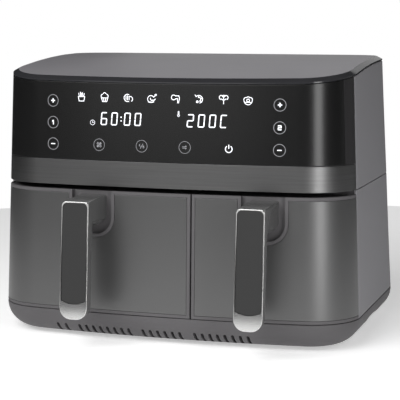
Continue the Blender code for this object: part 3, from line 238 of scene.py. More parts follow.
# ---- Mesh work ------------------------------------------------------------------------------------------
class Workpiece:
    """A mesh that is shaped with bmesh operators until it's handed over as a finished piece."""

    def __init__(self) -> None:
        """Start with an empty mesh."""
        self.bm = bmesh.new()

    def outline(self, corners: Sequence[tuple[float, float, float]], depth: float = 0.0,
                segments: int = 8) -> "Workpiece":
        """Lay a flat face that looks forwards, with rounded corners.

        Args:
            corners: Across, up and radius of each right-angled corner, anticlockwise seen from in front.
            depth: Its place along Y.
            segments: Facets of each rounded corner.

        Returns:
            This workpiece.
        """
        verts = [self.bm.verts.new((x, depth, z)) for x, z, _ in corners]
        self.bm.faces.new(verts)
        for vert, (_, _, radius) in zip(verts, corners):
            if radius > 0:
                bmesh.ops.bevel(self.bm, geom=[vert], offset=radius, offset_type="OFFSET", affect="VERTICES",
                                segments=segments, profile=0.5, material=-1)
        return self

    def rectangle(self, low: tuple[float, float], high: tuple[float, float], depth: float = 0.0,
                  radius: float = 0.0) -> "Workpiece":
        """Lay a flat rectangle that looks forwards."""
        return self.outline(((low[0], low[1], radius), (high[0], low[1], radius), (high[0], high[1], radius),
                             (low[0], high[1], radius)), depth)

    def thicken(self, amount: float) -> "Workpiece":
        """Extrude every face by an amount along Y, which closes the shape."""
        made = bmesh.ops.extrude_face_region(self.bm, geom=list(self.bm.faces))["geom"]
        bmesh.ops.translate(self.bm, vec=(0.0, amount, 0.0),
                            verts=[item for item in made if isinstance(item, bmesh.types.BMVert)])
        return self.face_out()

    def face_out(self) -> "Workpiece":
        """Merge doubles and turn the faces outwards."""
        bmesh.ops.remove_doubles(self.bm, verts=self.bm.verts, dist=1e-6)
        bmesh.ops.recalc_face_normals(self.bm, faces=self.bm.faces)
        self.bm.normal_update()
        return self

    def soften(self, width: float, segments: int = 2, both: bool = False) -> "Workpiece":
        """Round the edges round the front face, and round the back face too if both is set."""
        def is_rim(edge: bmesh.types.BMEdge) -> bool:
            """Tell if an edge runs between a front (or back) face and a wall."""
            if len(edge.link_faces) != 2:
                return False
            first, second = (face.normal.y for face in edge.link_faces)
            if both:
                first, second = -abs(first), -abs(second)
            return min(first, second) < -0.95 and max(first, second) > -0.5

        rim = [edge for edge in self.bm.edges if is_rim(edge)]
        bmesh.ops.bevel(self.bm, geom=rim, offset=width, offset_type="OFFSET", affect="EDGES",
                        segments=segments, profile=0.5, material=-1, clamp_overlap=True)
        self.bm.normal_update()
        return self

    def slice(self, places: Iterable[float], axis: int = 0) -> "Workpiece":
        """Cut across an axis at each place, and leave the halves joined."""
        normal = Vector((0.0, 0.0, 0.0))
        normal[axis] = 1.0
        for place in places:
            geometry = [*self.bm.verts, *self.bm.edges, *self.bm.faces]
            bmesh.ops.bisect_plane(self.bm, geom=geometry, plane_co=normal * place, plane_no=normal,
                                   dist=1e-6)
        return self

    def remap(self, change: Callable[[Vector], Vector]) -> "Workpiece":
        """Keep the flat pattern as a UV map and move every vertex by a function."""
        layer = self.bm.loops.layers.uv.get(FLAT_MAP) or self.bm.loops.layers.uv.new(FLAT_MAP)
        for face in self.bm.faces:
            for loop in face.loops:
                loop[layer].uv = (loop.vert.co.x, loop.vert.co.z)
        for vert in self.bm.verts:
            vert.co = change(vert.co)
        self.bm.normal_update()
        return self

    def bend(self, form: HousingForm) -> "Workpiece":
        """Bend a flat pattern round the housing."""
        return self.remap(lambda flat: form.point(flat.x, flat.y, flat.z))

    def bend_to_crown(self, form: HousingForm, low: float, high: float, drop: float) -> "Workpiece":
        """Bend a flat pattern round the housing, with its top edge stretched up to the crown.

        Args:
            form: The housing.
            low: Height that keeps its place.
            high: Height in the flat pattern that ends at the crown.
            drop: How far below the crown it ends.

        Returns:
            This workpiece.
        """
        def change(flat: Vector) -> Vector:
            """Place one vertex."""
            top = form.crown_point(flat.x, flat.y, drop).z
            return form.point(flat.x, flat.y, low + (flat.z - low) * (top - low) / (high - low))

        return self.remap(change)

    def ring(self, form: HousingForm, levels: Sequence[tuple[float, float]], to_crown: bool) -> "Workpiece":
        """Run a section once round the housing, from its first level to its last.

        Args:
            form: The housing.
            levels: Inset and height of each corner of the section, or inset and drop below the crown.
            to_crown: Whether the heights are drops below the crown.

        Returns:
            This workpiece, open at its first and last level.
        """
        whole = form.half_run()
        start = self.bm.verts.new((-whole, levels[0][0], levels[0][1]))
        places = [place for place in form.stations(-whole, whole)] + [whole]
        last = start
        for place in places:
            made = bmesh.ops.extrude_vert_indiv(self.bm, verts=[last])["verts"][0]
            made.co = (place, levels[0][0], levels[0][1])
            last = made
        edges = list(self.bm.edges)
        for inset, height in levels[1:]:
            made = bmesh.ops.extrude_edge_only(self.bm, edges=edges)["geom"]
            edges = [item for item in made if isinstance(item, bmesh.types.BMEdge)]
            for vert in (item for item in made if isinstance(item, bmesh.types.BMVert)):
                vert.co.y, vert.co.z = inset, height
        place = form.crown_point if to_crown else form.point
        self.remap(lambda flat: place(flat.x, flat.y, flat.z))
        bmesh.ops.remove_doubles(self.bm, verts=self.bm.verts, dist=1e-6)
        return self

    def close(self) -> "Workpiece":
        """Fill every open rim with one face."""
        rims = [edge for edge in self.bm.edges if edge.is_boundary]
        bmesh.ops.holes_fill(self.bm, edges=rims, sides=0)
        return self.face_out()

    def lathe(self, section: Sequence[tuple[float, float]], centre: Vector, axis: Vector,
              steps: int = 48) -> "Workpiece":
        """Turn a closed or axis-to-axis section round an axis.

        Args:
            section: Radius and height of each point, in order.
            centre: Foot of the axis.
            axis: Direction of the axis, along Y or Z.
            steps: Facets round.

        Returns:
            This workpiece.
        """
        across = Vector((1.0, 0.0, 0.0))
        verts = [self.bm.verts.new(centre + across * radius + axis * height) for radius, height in section]
        pairs = list(zip(verts, verts[1:]))
        edges = [self.bm.edges.new(pair) for pair in pairs]
        bmesh.ops.spin(self.bm, geom=[*verts, *edges], cent=centre, axis=axis, angle=2 * math.pi, steps=steps,
                       use_merge=True, use_normal_flip=False)
        bmesh.ops.dissolve_degenerate(self.bm, dist=1e-7, edges=self.bm.edges)
        return self.face_out()

    def add(self, other: "Workpiece") -> "Workpiece":
        """Take in another workpiece as it is."""
        mesh = bpy.data.meshes.new("transfer")
        other.bm.to_mesh(mesh)
        other.bm.free()
        self.bm.from_mesh(mesh)
        bpy.data.meshes.remove(mesh)
        return self

    def combine(self, other: "Workpiece", operation: Operation) -> "Workpiece":
        """Join, carve or intersect with another closed workpiece, which is used up."""
        objects = []
        for label, piece in (("work", self), ("tool", other)):
            mesh = bpy.data.meshes.new(label)
            piece.bm.to_mesh(mesh)
            piece.bm.free()
            obj = bpy.data.objects.new(label, mesh)
            bpy.context.scene.collection.objects.link(obj)
            objects.append(obj)
        work, tool = objects
        step = work.modifiers.new(operation.value.lower(), "BOOLEAN")
        step.operation, step.solver, step.object = operation.value, "EXACT", tool
        bpy.context.view_layer.update()
        result = bpy.data.meshes.new_from_object(work.evaluated_get(bpy.context.evaluated_depsgraph_get()))
        self.bm = bmesh.new()
        self.bm.from_mesh(result)
        bpy.data.meshes.remove(result)
        for obj in objects:
            mesh = obj.data
            bpy.data.objects.remove(obj)
            bpy.data.meshes.remove(mesh)
        bmesh.ops.remove_doubles(self.bm, verts=self.bm.verts, dist=1e-6)
        self.bm.normal_update()
        return self

    def hand_over(self, name: str, body: str, finish: "Finish", stands_for: Sequence[str] = (),
                  sharp: float = 32.0) -> bpy.types.Object:
        """Make the finished piece and hang it on its body.

        Args:
            name: Name of the piece.
            body: Body that it moves with.
            finish: Its finish.
            stands_for: Nodes of the frame that it replaces.
            sharp: Angle in degrees past which an edge shows as an edge.

        Returns:
            The finished object.
        """
        mesh = bpy.data.meshes.new(name)
        self.bm.to_mesh(mesh)
        self.bm.free()
        mesh.shade_smooth()
        mesh.set_sharp_from_angle(angle=math.radians(sharp))
        obj = bpy.data.objects.new(name, mesh)
        bpy.context.scene.collection.objects.link(obj)
        mesh.materials.append(finish.material())
        even = obj.modifiers.new("even_normals", "WEIGHTED_NORMAL")
        even.keep_sharp = True
        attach(obj, body)
        if stands_for:
            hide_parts(*stands_for)
        LOG.info("%s: %d faces, on %s", name, len(mesh.polygons), body)
        return obj


# ---- Finishes -------------------------------------------------------------------------------------------
Colour = tuple[float, float, float]


class Graph:
    """Node tree of one material, with short calls for the nodes that the finishes share."""

    def __init__(self, name: str, mapped: bool = False) -> None:
        """Start a material whose patterns read the piece's own coordinates, or its flat map if mapped."""
        self.material = bpy.data.materials.new(name)
        self.material.use_nodes = True
        self.tree = self.material.node_tree
        self.shader = self.tree.nodes["Principled BSDF"]
        if mapped:
            source = self.node("ShaderNodeUVMap")
            source.uv_map = FLAT_MAP
            self.place = source.outputs["UV"]
        else:
            self.place = self.node("ShaderNodeTexCoord").outputs["Object"]

    def node(self, kind: str, **settings: object) -> bpy.types.Node:
        """Add a node with its settings."""
        made = self.tree.nodes.new(kind)
        for key, value in settings.items():
            setattr(made, key, value)
        return made

    def stretch(self, scale: tuple[float, float, float]) -> bpy.types.NodeSocket:
        """Scale the pattern's coordinates by axis."""
        mapping = self.node("ShaderNodeMapping")
        mapping.inputs["Scale"].default_value = scale
        self.tree.links.new(self.place, mapping.inputs["Vector"])
        return mapping.outputs["Vector"]

    def noise(self, scale: float, detail: float = 2.0,
              stretch: tuple[float, float, float] | None = None) -> bpy.types.NodeSocket:
        """Noise value of a scale per metre, stretched if asked."""
        noise = self.node("ShaderNodeTexNoise")
        noise.inputs["Scale"].default_value = scale
        noise.inputs["Detail"].default_value = detail
        self.tree.links.new(self.stretch(stretch) if stretch else self.place, noise.inputs["Vector"])
        return noise.outputs["Fac"]

    def cells(self, scale: float) -> bpy.types.NodeSocket:
        """Voronoi cells' grey value."""
        cells = self.node("ShaderNodeTexVoronoi")
        cells.inputs["Scale"].default_value = scale
        self.tree.links.new(self.place, cells.inputs["Vector"])
        grey = self.node("ShaderNodeRGBToBW")
        self.tree.links.new(cells.outputs["Color"], grey.inputs["Color"])
        return grey.outputs["Val"]

    def span(self, value: bpy.types.NodeSocket, low: float, high: float, start: float = 0.3,
             end: float = 0.7) -> bpy.types.NodeSocket:
        """Map a value's range onto another one, held at both ends."""
        ranged = self.node("ShaderNodeMapRange", clamp=True)
        for name, number in (("From Min", start), ("From Max", end), ("To Min", low), ("To Max", high)):
            ranged.inputs[name].default_value = number
        self.tree.links.new(value, ranged.inputs["Value"])
        return ranged.outputs["Result"]

    def blend(self, share: bpy.types.NodeSocket, first: Colour, second: Colour) -> bpy.types.NodeSocket:
        """Mix two colours by a share."""
        mix = self.node("ShaderNodeMix", data_type="RGBA")
        for socket in mix.inputs:
            if socket.type == "RGBA":
                socket.default_value = (*(first if socket.identifier.startswith("A") else second), 1.0)
        self.tree.links.new(share, mix.inputs[0])
        return next(out for out in mix.outputs if out.type == "RGBA")

    def set(self, **values: object) -> None:
        """Set or link the shader's inputs, named with underscores for spaces."""
        for key, value in values.items():
            socket = self.shader.inputs[key.replace("_", " ")]
            if isinstance(value, bpy.types.NodeSocket):
                self.tree.links.new(value, socket)
            else:
                socket.default_value = value

    def bump(self, height: bpy.types.NodeSocket, strength: float, distance: float,
             under: bpy.types.NodeSocket | None = None) -> bpy.types.NodeSocket:
        """Raise the surface by a height, over another relief if given."""
        bump = self.node("ShaderNodeBump")
        bump.inputs["Strength"].default_value = strength
        bump.inputs["Distance"].default_value = distance
        self.tree.links.new(height, bump.inputs["Height"])
        if under:
            self.tree.links.new(under, bump.inputs["Normal"])
        return bump.outputs["Normal"]


def shade(colour: Colour, factor: float) -> Colour:
    """Scale a colour."""
    return tuple(min(1.0, channel * factor) for channel in colour)


@dataclass(frozen=True)
class Finish:
    """A finish of the record's material slot, shared by its pieces.

    A material that the frame already holds under the finish's name is used as it is. The finish is
    built only where there is none.
    """

    name: str
    slot: str
    colour: Colour
    roughness: float

    def material(self) -> bpy.types.Material:
        """Give the material of this name, and build it if there is none."""
        found = bpy.data.materials.get(self.name)
        if found:
            return found
        graph = self.graph()
        self.dress(graph)
        return graph.material

    def graph(self) -> Graph:
        """Start the node tree."""
        return Graph(self.name)

    def dress(self, graph: Graph) -> None:
        """Fill the node tree."""
        raise NotImplementedError


@dataclass(frozen=True)
class MouldedPlastic(Finish):
    """Satin moulded plastic with a fine spark-eroded grain."""

    grain: float = 1500.0
    relief: float = 0.12
    gloss_level: float = 0.5

    def dress(self, graph: Graph) -> None:
        """Fine grain in the relief, and slow drifts of colour and gloss."""
        drift = graph.noise(14.0, 3.0)
        grain = graph.noise(self.grain, 2.0)
        colour = graph.blend(graph.span(drift, 0.0, 1.0), shade(self.colour, 0.96), shade(self.colour, 1.04))
        graph.set(Base_Color=colour, Specular_IOR_Level=self.gloss_level,
                  Roughness=graph.span(grain, self.roughness - 0.03, self.roughness + 0.04),
                  Normal=graph.bump(grain, self.relief, 0.0002))


@dataclass(frozen=True)
class BrushedSteel(Finish):
    """Dark steel sheet, brushed along the housing, with fine broken streaks."""

    streak: float = 0.16
    relief: float = 0.10

    def graph(self) -> Graph:
        """Let the streaks follow the flat pattern."""
        return Graph(self.name, mapped=True)

    def dress(self, graph: Graph) -> None:
        """Two widths of streak in colour, gloss and relief."""
        fine = graph.noise(1.0, 3.0, stretch=(16.0, 2600.0, 1.0))
        broad = graph.noise(1.0, 2.0, stretch=(7.0, 420.0, 1.0))
        drift = graph.noise(11.0, 1.0)
        both = graph.node("ShaderNodeMath", operation="ADD")
        graph.tree.links.new(graph.span(fine, 0.0, 0.62), both.inputs[0])
        graph.tree.links.new(graph.span(broad, 0.0, 0.38), both.inputs[1])
        streaks = both.outputs["Value"]
        low, high = shade(self.colour, 1 - self.streak), shade(self.colour, 1 + self.streak)
        relief = graph.bump(streaks, self.relief, 0.0002)
        graph.set(Base_Color=graph.blend(streaks, low, high), Metallic=1.0,
                  Roughness=graph.span(streaks, self.roughness + 0.05, self.roughness - 0.04, 0.0, 1.0),
                  Normal=graph.bump(drift, 0.05, 0.0010, relief))


@dataclass(frozen=True)
class BlackGlass(Finish):
    """Gloss black touch panel."""

    gloss_level: float = 0.25

    def dress(self, graph: Graph) -> None:
        """A near mirror with a trace of haze."""
        haze = graph.noise(60.0, 3.0)
        graph.set(Base_Color=graph.blend(haze, shade(self.colour, 0.8), shade(self.colour, 1.2)),
                  Roughness=graph.span(haze, self.roughness, self.roughness + 0.03),
                  Specular_IOR_Level=self.gloss_level)


@dataclass(frozen=True)
class Plating(Finish):
    """Metal plating, from mirror bright to satin, with faint polishing marks."""

    marks: float = 0.05
    sheen: float = 1.0

    def dress(self, graph: Graph) -> None:
        """Slow ripples in gloss over fine polishing marks."""
        marks = graph.noise(1.0, 3.0, stretch=(900.0, 900.0, 60.0))
        ripple = graph.noise(35.0, 2.0)
        graph.set(Base_Color=graph.blend(graph.span(ripple, 0.0, 1.0), shade(self.colour, 0.94), self.colour),
                  Metallic=self.sheen,
                  Roughness=graph.span(marks, self.roughness, self.roughness + self.marks),
                  Normal=graph.bump(marks, 0.03, 0.0001))


@dataclass(frozen=True)
class SheetMetal(Finish):
    """Bare or galvanised sheet with spangle and faint handling marks."""

    spangle: float = 140.0
    tint: Colour | None = None

    def dress(self, graph: Graph) -> None:
        """Crystal spangle in colour and gloss, with heat tint where it's set."""
        spangle = graph.cells(self.spangle)
        marks = graph.noise(300.0, 4.0)
        share = graph.noise(45.0, 2.0) if self.tint else spangle
        other = self.tint or shade(self.colour, 1.15)
        graph.set(Base_Color=graph.blend(graph.span(share, 0.0, 1.0), shade(self.colour, 0.88), other),
                  Metallic=1.0, Roughness=graph.span(spangle, self.roughness - 0.06, self.roughness + 0.08),
                  Normal=graph.bump(marks, 0.05, 0.0002))


@dataclass(frozen=True)
class NonStick(Finish):
    """Sprayed non-stick coating with a fine metallic fleck."""

    def dress(self, graph: Graph) -> None:
        """Light flecks over a softly rippled coat."""
        fleck = graph.noise(1300.0, 1.0)
        ripple = graph.noise(240.0, 2.0)
        flecks = graph.span(fleck, 0.0, 1.0, 0.62, 0.72)
        graph.set(Base_Color=graph.blend(flecks, self.colour, shade(self.colour, 3.2)),
                  Roughness=graph.span(ripple, self.roughness - 0.05, self.roughness + 0.06),
                  Normal=graph.bump(ripple, 0.08, 0.0003))


@dataclass(frozen=True)
class CircuitBoard(Finish):
    """Green board with copper tracks under the varnish."""

    def dress(self, graph: Graph) -> None:
        """Tracks from a brick pattern laid on the board."""
        tracks = graph.node("ShaderNodeTexBrick", offset=0.37, squash=1.6)
        for key, value in (("Color1", self.colour), ("Color2", shade(self.colour, 1.25)),
                           ("Mortar", (0.10, 0.24, 0.07))):
            tracks.inputs[key].default_value = (*value, 1.0)
        for key, number in (("Scale", 1.0), ("Mortar Size", 0.0006), ("Brick Width", 0.011),
                            ("Row Height", 0.0042)):
            tracks.inputs[key].default_value = number
        turned = graph.node("ShaderNodeMapping")
        turned.inputs["Rotation"].default_value = (math.pi / 2, 0.0, 0.0)
        graph.tree.links.new(graph.place, turned.inputs["Vector"])
        graph.tree.links.new(turned.outputs["Vector"], tracks.inputs["Vector"])
        graph.set(Base_Color=tracks.outputs["Color"], Specular_IOR_Level=0.5,
                  Roughness=graph.span(graph.noise(200.0), self.roughness - 0.1, self.roughness + 0.1),
                  Normal=graph.bump(tracks.outputs["Fac"], 0.3, 0.0001))


@dataclass(frozen=True)
class LitSign(Finish):
    """Light behind the glass, slightly uneven as through a diffuser."""

    glow: float = 1.0

    def dress(self, graph: Graph) -> None:
        """An even glow with a faint mottle."""
        mottle = graph.span(graph.noise(700.0, 1.0), 0.0, 1.0)
        lit = graph.blend(mottle, shade(self.colour, 0.90), self.colour)
        graph.set(Base_Color=lit, Emission_Color=lit, Emission_Strength=self.glow, Roughness=self.roughness)


SATIN_GREY = MouldedPlastic("satin_grey", "satin_grey", (0.260, 0.254, 0.270), 0.40)
# Lighter copy of the satin grey for the lid: painted light on the top, which the lamps above light more than
# the sides.
LID_GREY_PAINTED_LIGHT = MouldedPlastic("lid_painted_light_grey", "satin_grey", (0.278, 0.270, 0.287), 0.38)
DARK_PLASTIC = MouldedPlastic("dark_plastic", "dark_plastic", (0.040, 0.038, 0.041), 0.44, gloss_level=0.35)
# Darker copy of the dark plastic for the cheeks beside the panel: painted shade, as in a recess.
SHADED_DARK_PLASTIC = MouldedPlastic("dark_plastic_painted_shade", "dark_plastic", (0.020, 0.019, 0.020), 0.40,
                                gloss_level=0.35)
BLACK_PLASTIC = MouldedPlastic("black_plastic", "black_plastic", (0.009, 0.008, 0.008), 0.50, grain=2200.0,
                               gloss_level=0.15)
WHITE_PLASTIC = MouldedPlastic("white_plastic", "white_plastic", (0.75, 0.75, 0.73), 0.42)
SILICONE = MouldedPlastic("silicone", "silicone", (0.020, 0.020, 0.022), 0.62, grain=900.0)
RUBBER = MouldedPlastic("rubber", "rubber", (0.020, 0.020, 0.020), 0.75, grain=1100.0, relief=0.3)
DARK_STEEL = BrushedSteel("dark_steel", "dark_steel", (0.190, 0.190, 0.190), 0.42)
BAND_STEEL = BrushedSteel("band_steel", "dark_steel", (0.180, 0.180, 0.180), 0.38)
GLOSS_BLACK = BlackGlass("gloss_black", "gloss_black", (0.0007, 0.0007, 0.0006), 0.04)
# Near black copy of the satin grey for the rim over the lid's chamfer: a painted reflection of the dark room.
RIM_PAINTED_REFLECTION = MouldedPlastic("rim_painted_reflection", "satin_grey", (0.030, 0.030, 0.033), 0.14, grain=300.0, relief=0.02)
GUNMETAL = Plating("gunmetal", "gunmetal", (0.200, 0.200, 0.205), 0.26, marks=0.10)
BRIGHT_SILVER = Plating("bright_silver", "bright_silver", (0.84, 0.84, 0.83), 0.24)
ALUMINIUM = Plating("aluminium", "aluminium", (0.62, 0.63, 0.64), 0.32, marks=0.12)
GALVANISED = SheetMetal("galvanised", "galvanised", (0.46, 0.47, 0.48), 0.40)
HEATER_STEEL = SheetMetal("heater_steel", "heater_steel", (0.30, 0.29, 0.28), 0.36, spangle=400.0,
                          tint=(0.26, 0.20, 0.15))
PAN_COATING = NonStick("pan_coating", "pan_coating", (0.022, 0.022, 0.024), 0.36)
BOARD_GREEN = CircuitBoard("circuit_board", "circuit_board", (0.02, 0.12, 0.05), 0.45)
LIT_WHITE = LitSign("lit_white", "white_plastic", (0.86, 0.87, 0.92), 0.40, glow=0.85)
DIM_WHITE = LitSign("dim_white", "white_plastic", (0.30, 0.30, 0.32), 0.40, glow=0.45)


# ---- Housing --------------------------------------------------------------------------------------------
@dataclass
class BaseTray:
    """Bowl-shaped base with air slots in front, a lifting recess in each side and four feet."""

    form: HousingForm
    joint: float = 0.0003
    depth: float = 0.0278
    reach: float = 0.0300
    slot_width: float = 0.0034
    slot_span: tuple[float, float] = (0.0153, 0.0272)
    slot_groups: tuple[tuple[float, float, int], ...] = (
        (-0.1220, 0.0096, 2), (-0.0961, 0.0082, 8), (-0.0223, 0.0082, 6), (0.0353, 0.0082, 8))
    recess_depth: float = 0.0290
    recess_span: tuple[float, float] = (-0.0180, 0.0560)
    recess_drop: float = 0.0125
    foot_radius: float = 0.0095

    def section(self) -> list[tuple[float, float]]:
        """Inset and height down the bowl, tight at the seam and flat at the floor."""
        top = self.form.seam_z - self.joint
        steps = 14
        levels = [(0.0004, top), (0.0, top - 0.0006)]
        for i in range(1, steps + 1):
            turn = math.pi / 2 * i / steps
            levels.append((self.reach * (1 - math.cos(turn)), top - self.depth * math.sin(turn) ** 1.05))
        return levels

    def slots(self) -> Workpiece:
        """Cutters of the air slots, with round ends."""
        cutters = Workpiece()
        low, high = (self.form.seam_z - drop for drop in reversed(self.slot_span))
        radius = self.slot_width * 0.49
        for first, pitch, count in self.slot_groups:
            for i in range(count):
                x = first + pitch * i
                cutters.rectangle((x - self.slot_width / 2, low), (x + self.slot_width / 2, high),
                                  self.form.centre_y - self.form.front - 0.005, radius)
        return cutters.thicken(0.050)

    def recess(self, side: float) -> Workpiece:
        """Cutter of one lifting recess, with a rounded top."""
        outer = self.form.half_width + 0.010
        inner = self.form.half_width - self.recess_depth
        low, high = sorted((side * inner, side * outer))
        height = self.form.seam_z - self.recess_drop
        start, end = (self.form.centre_y + value for value in self.recess_span)
        cutter = Workpiece().outline(((low, -0.010, 0.0), (high, -0.010, 0.0), (high, height, 0.0),
                                      (low, height, 0.0)), start)
        cutter.thicken(end - start)
        rims = [edge for edge in cutter.bm.edges
                if all(abs(vert.co.x - side * inner) < 1e-6 for vert in edge.verts)
                and (edge.verts[0].co - edge.verts[1].co).y ** 2 < 1e-12]
        bmesh.ops.bevel(cutter.bm, geom=rims, offset=0.010, offset_type="OFFSET", affect="EDGES", segments=5,
                        profile=0.5, material=-1)
        return cutter

    def build(self) -> None:
        """Make the tray and its feet."""
        tray = Workpiece().ring(self.form, self.section(), to_crown=False).close()
        tray.combine(self.slots(), Operation.DIFFERENCE)
        for side in (-1.0, 1.0):
            tray.combine(self.recess(side), Operation.DIFFERENCE)
        tray.hand_over("base_body", "housing", DARK_PLASTIC, ["base_tray"])
        for name in ("front_left", "front_right", "rear_left", "rear_right"):
            self.build_foot(name)

    def build_foot(self, name: str) -> None:
        """Turn one rubber foot with a rounded tread."""
        low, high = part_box(f"foot_{name}")
        middle = Vector(((low.x + high.x) / 2, (low.y + high.y) / 2, 0.0))
        radius = self.foot_radius
        section = ((0.0, 0.0), (radius - 0.0030, 0.0), (radius - 0.0018, 0.2 * high.z),
                   (radius - 0.0014, 0.4 * high.z), (radius - 0.0004, 0.8 * high.z), (radius, high.z),
                   (0.0, high.z))
        foot = Workpiece().lathe(section, middle, Vector((0.0, 0.0, 1.0)))
        foot.hand_over(f"foot_pad_{name}", "housing", RUBBER, [f"foot_{name}"])


@dataclass
class RearShells:
    """Lower and upper shells round the sides and back, with outlet, grommet and upright joints."""

    form: HousingForm
    wall: float = 0.0026
    joint: float = 0.0006
    edge: float = 0.0007
    lid_drop: float = 0.0052
    gland_steps: int = 48

    def flat(self, low: float, high: float) -> Workpiece:
        """Flat pattern of a shell between two heights, from joint to joint round the back."""
        start = self.form.parting() + self.joint
        end = 2 * self.form.half_run() - start
        shell = Workpiece().rectangle((start, low), (end, high)).thicken(self.wall)
        return shell.soften(self.edge).slice(self.form.stations(start, end))

    def build(self) -> None:
        """Make both shells and the parts set in them."""
        low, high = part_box("lower_rear_shell")
        lower = self.flat(low.z, high.z).bend(self.form)
        gland_low, gland_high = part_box("cord_gland")
        middle = (gland_low + gland_high) / 2
        hole = Workpiece().lathe(((0.0, -0.020), (0.0066, -0.020), (0.0066, 0.020), (0.0, 0.020)),
                                 Vector((middle.x, high.y, middle.z)), Vector((0.0, 1.0, 0.0)))
        lower.combine(hole, Operation.DIFFERENCE)
        lower.hand_over("lower_shell", "housing", SATIN_GREY, ["lower_rear_shell"])
        low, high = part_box("upper_rear_shell")
        top = self.form.crown_front - self.lid_drop
        upper = self.flat(low.z, top).bend_to_crown(self.form, low.z, top, self.lid_drop)
        grille_low, grille_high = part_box("outlet_grille")
        opening = Workpiece().rectangle((grille_low.x - 0.0006, grille_low.z - 0.0006),
                                        (grille_high.x + 0.0006, grille_high.z + 0.0006),
                                        grille_low.y - 0.02, 0.002).thicken(0.050)
        upper.combine(opening, Operation.DIFFERENCE)
        upper.hand_over("upper_shell", "housing", SATIN_GREY, ["upper_rear_shell"])
        self.build_gland(Vector((middle.x, gland_high.y, middle.z)))

    def build_gland(self, nose: Vector) -> None:
        """Turn the ribbed grommet of the mains cord, from its nose inwards."""
        section = ((0.0036, 0.0), (0.0050, 0.0), (0.0056, -0.0006), (0.0056, -0.0022), (0.0050, -0.0026),
                   (0.0050, -0.0034), (0.0066, -0.0040), (0.0068, -0.0056), (0.0060, -0.0060),
                   (0.0062, -0.0068), (0.0088, -0.0078), (0.0091, -0.0086), (0.0091, -0.0104),
                   (0.0062, -0.0104), (0.0062, -0.0140), (0.0036, -0.0140), (0.0036, 0.0))
        gland = Workpiece().lathe(section, nose, Vector((0.0, 1.0, 0.0)), self.gland_steps)
        gland.hand_over("cord_grommet", "housing", BLACK_PLASTIC, ["cord_gland"])


@dataclass
class Lid:
    """Crowned top cover with a chamfered rim."""

    form: HousingForm
    lip: float = 0.0070
    drop: float = 0.0046
    chamfer: float = 0.0064
    strip: float = 0.012

    def section(self) -> tuple[tuple[float, float], ...]:
        """Inset and drop from under the lip, round the rim and over the chamfer."""
        return ((self.lip, self.drop), (0.0006, self.drop), (0.0002, self.drop - 0.0002),
                (0.0000, self.drop - 0.0006), (0.0001, self.drop - 0.0010), (0.0004, self.drop - 0.0014),
                (self.chamfer - 0.0012, 0.0005), (self.chamfer - 0.0005, 0.0002),
                (self.chamfer + 0.0004, 0.00003), (self.chamfer + 0.0015, 0.0))

    def build(self) -> None:
        """Run the rim round the housing, close it and slice both faces so that they follow the crown."""
        lid = Workpiece().ring(self.form, self.section(), to_crown=True).close()
        low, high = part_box("top_cover")
        count = int((high.y - low.y) / self.strip)
        places = [low.y + (high.y - low.y) * i / count for i in range(1, count)]
        lid.slice(places, axis=1)
        # The lid takes the lighter copy of the satin grey: painted light on the top.
        lid.hand_over("lid", "housing", LID_GREY_PAINTED_LIGHT, ["top_cover"])
        # The rim over the chamfer is a near black copy of the satin grey: painted dark reflection.
        rim = Workpiece().ring(self.form, self.rim_section(), to_crown=True)
        bmesh.ops.remove_doubles(rim.bm, verts=rim.bm.verts, dist=1e-7)
        rim.face_out().hand_over("lid_rim", "housing", RIM_PAINTED_REFLECTION)

    def rim_section(self) -> tuple[tuple[float, float], ...]:
        """Section of the glossy rim laid over the chamfer, once round; its near black colour is a painted
        dark reflection.
        """
        outer = ((0.0000, self.drop - 0.0001), (0.0000, self.drop - 0.0014), (self.chamfer - 0.0012, 0.0004),
                 (self.chamfer - 0.0004, 0.00005))
        inner = ((self.chamfer - 0.0004, 0.0010), (0.0012, self.drop - 0.0001))
        return (*outer, *inner, outer[0])


@dataclass
class Fascia:
    """Front above the drawers: carrier, cheeks, touch panel and steel band."""

    form: HousingForm
    glass: float = 0.0016
    glass_setback: float = 0.0395
    carrier: float = 0.0030
    gap: float = 0.0003
    lid_drop: float = 0.0052
    band: float = 0.0009

    def build(self) -> None:
        """Make the carrier, the panel and the band."""
        low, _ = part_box("control_glass")
        band_low, band_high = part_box("steel_band")
        top = self.form.crown_front - self.lid_drop
        end = self.form.parting()
        carrier = Workpiece().rectangle((-end, band_low.z), (end, top), self.glass + self.gap)
        carrier.thicken(self.carrier).slice(self.form.stations(-end, end))
        carrier.bend_to_crown(self.form, band_low.z, top, self.lid_drop)
        carrier.hand_over("fascia_back", "housing", DARK_PLASTIC, ["fascia_carrier"])
        stop = self.form.at_setback(self.glass_setback, (low.z + top) / 2)
        for name, side in zip(SIDES, (-1.0, 1.0)):
            start, finish = sorted((side * (stop + 0.0004), side * (end - 0.0003)))
            cheek = Workpiece().rectangle((start, low.z), (finish, top)).thicken(self.glass + 2 * self.gap)
            cheek.soften(0.0004).slice(self.form.stations(start, finish))
            cheek.bend_to_crown(self.form, low.z, top, self.lid_drop)
            # The cheeks take the darker copy of the dark plastic: painted shade.
            cheek.hand_over(f"{name}_cheek", "housing", SHADED_DARK_PLASTIC)
        panel = Workpiece().rectangle((-stop, low.z), (stop, top)).thicken(self.glass).soften(0.0004)
        panel.slice(self.form.stations(-stop, stop)).bend_to_crown(self.form, low.z, top, self.lid_drop)
        panel.hand_over("touch_panel", "housing", GLOSS_BLACK, ["control_glass"])
        band = Workpiece().rectangle((-end + 0.0002, band_low.z), (end - 0.0002, band_high.z))
        band.thicken(self.band).soften(0.0003).slice(self.form.stations(-end, end)).bend(self.form)
        band.hand_over("band_sheet", "housing", BAND_STEEL, ["steel_band"])


# ---- Signs on the touch panel ---------------------------------------------------------------------------
class Stroke(Enum):
    """Kinds of mark that a sign is drawn from, in millimetres from the sign's centre."""

    LINE = "line"
    ARC = "arc"
    DISC = "disc"


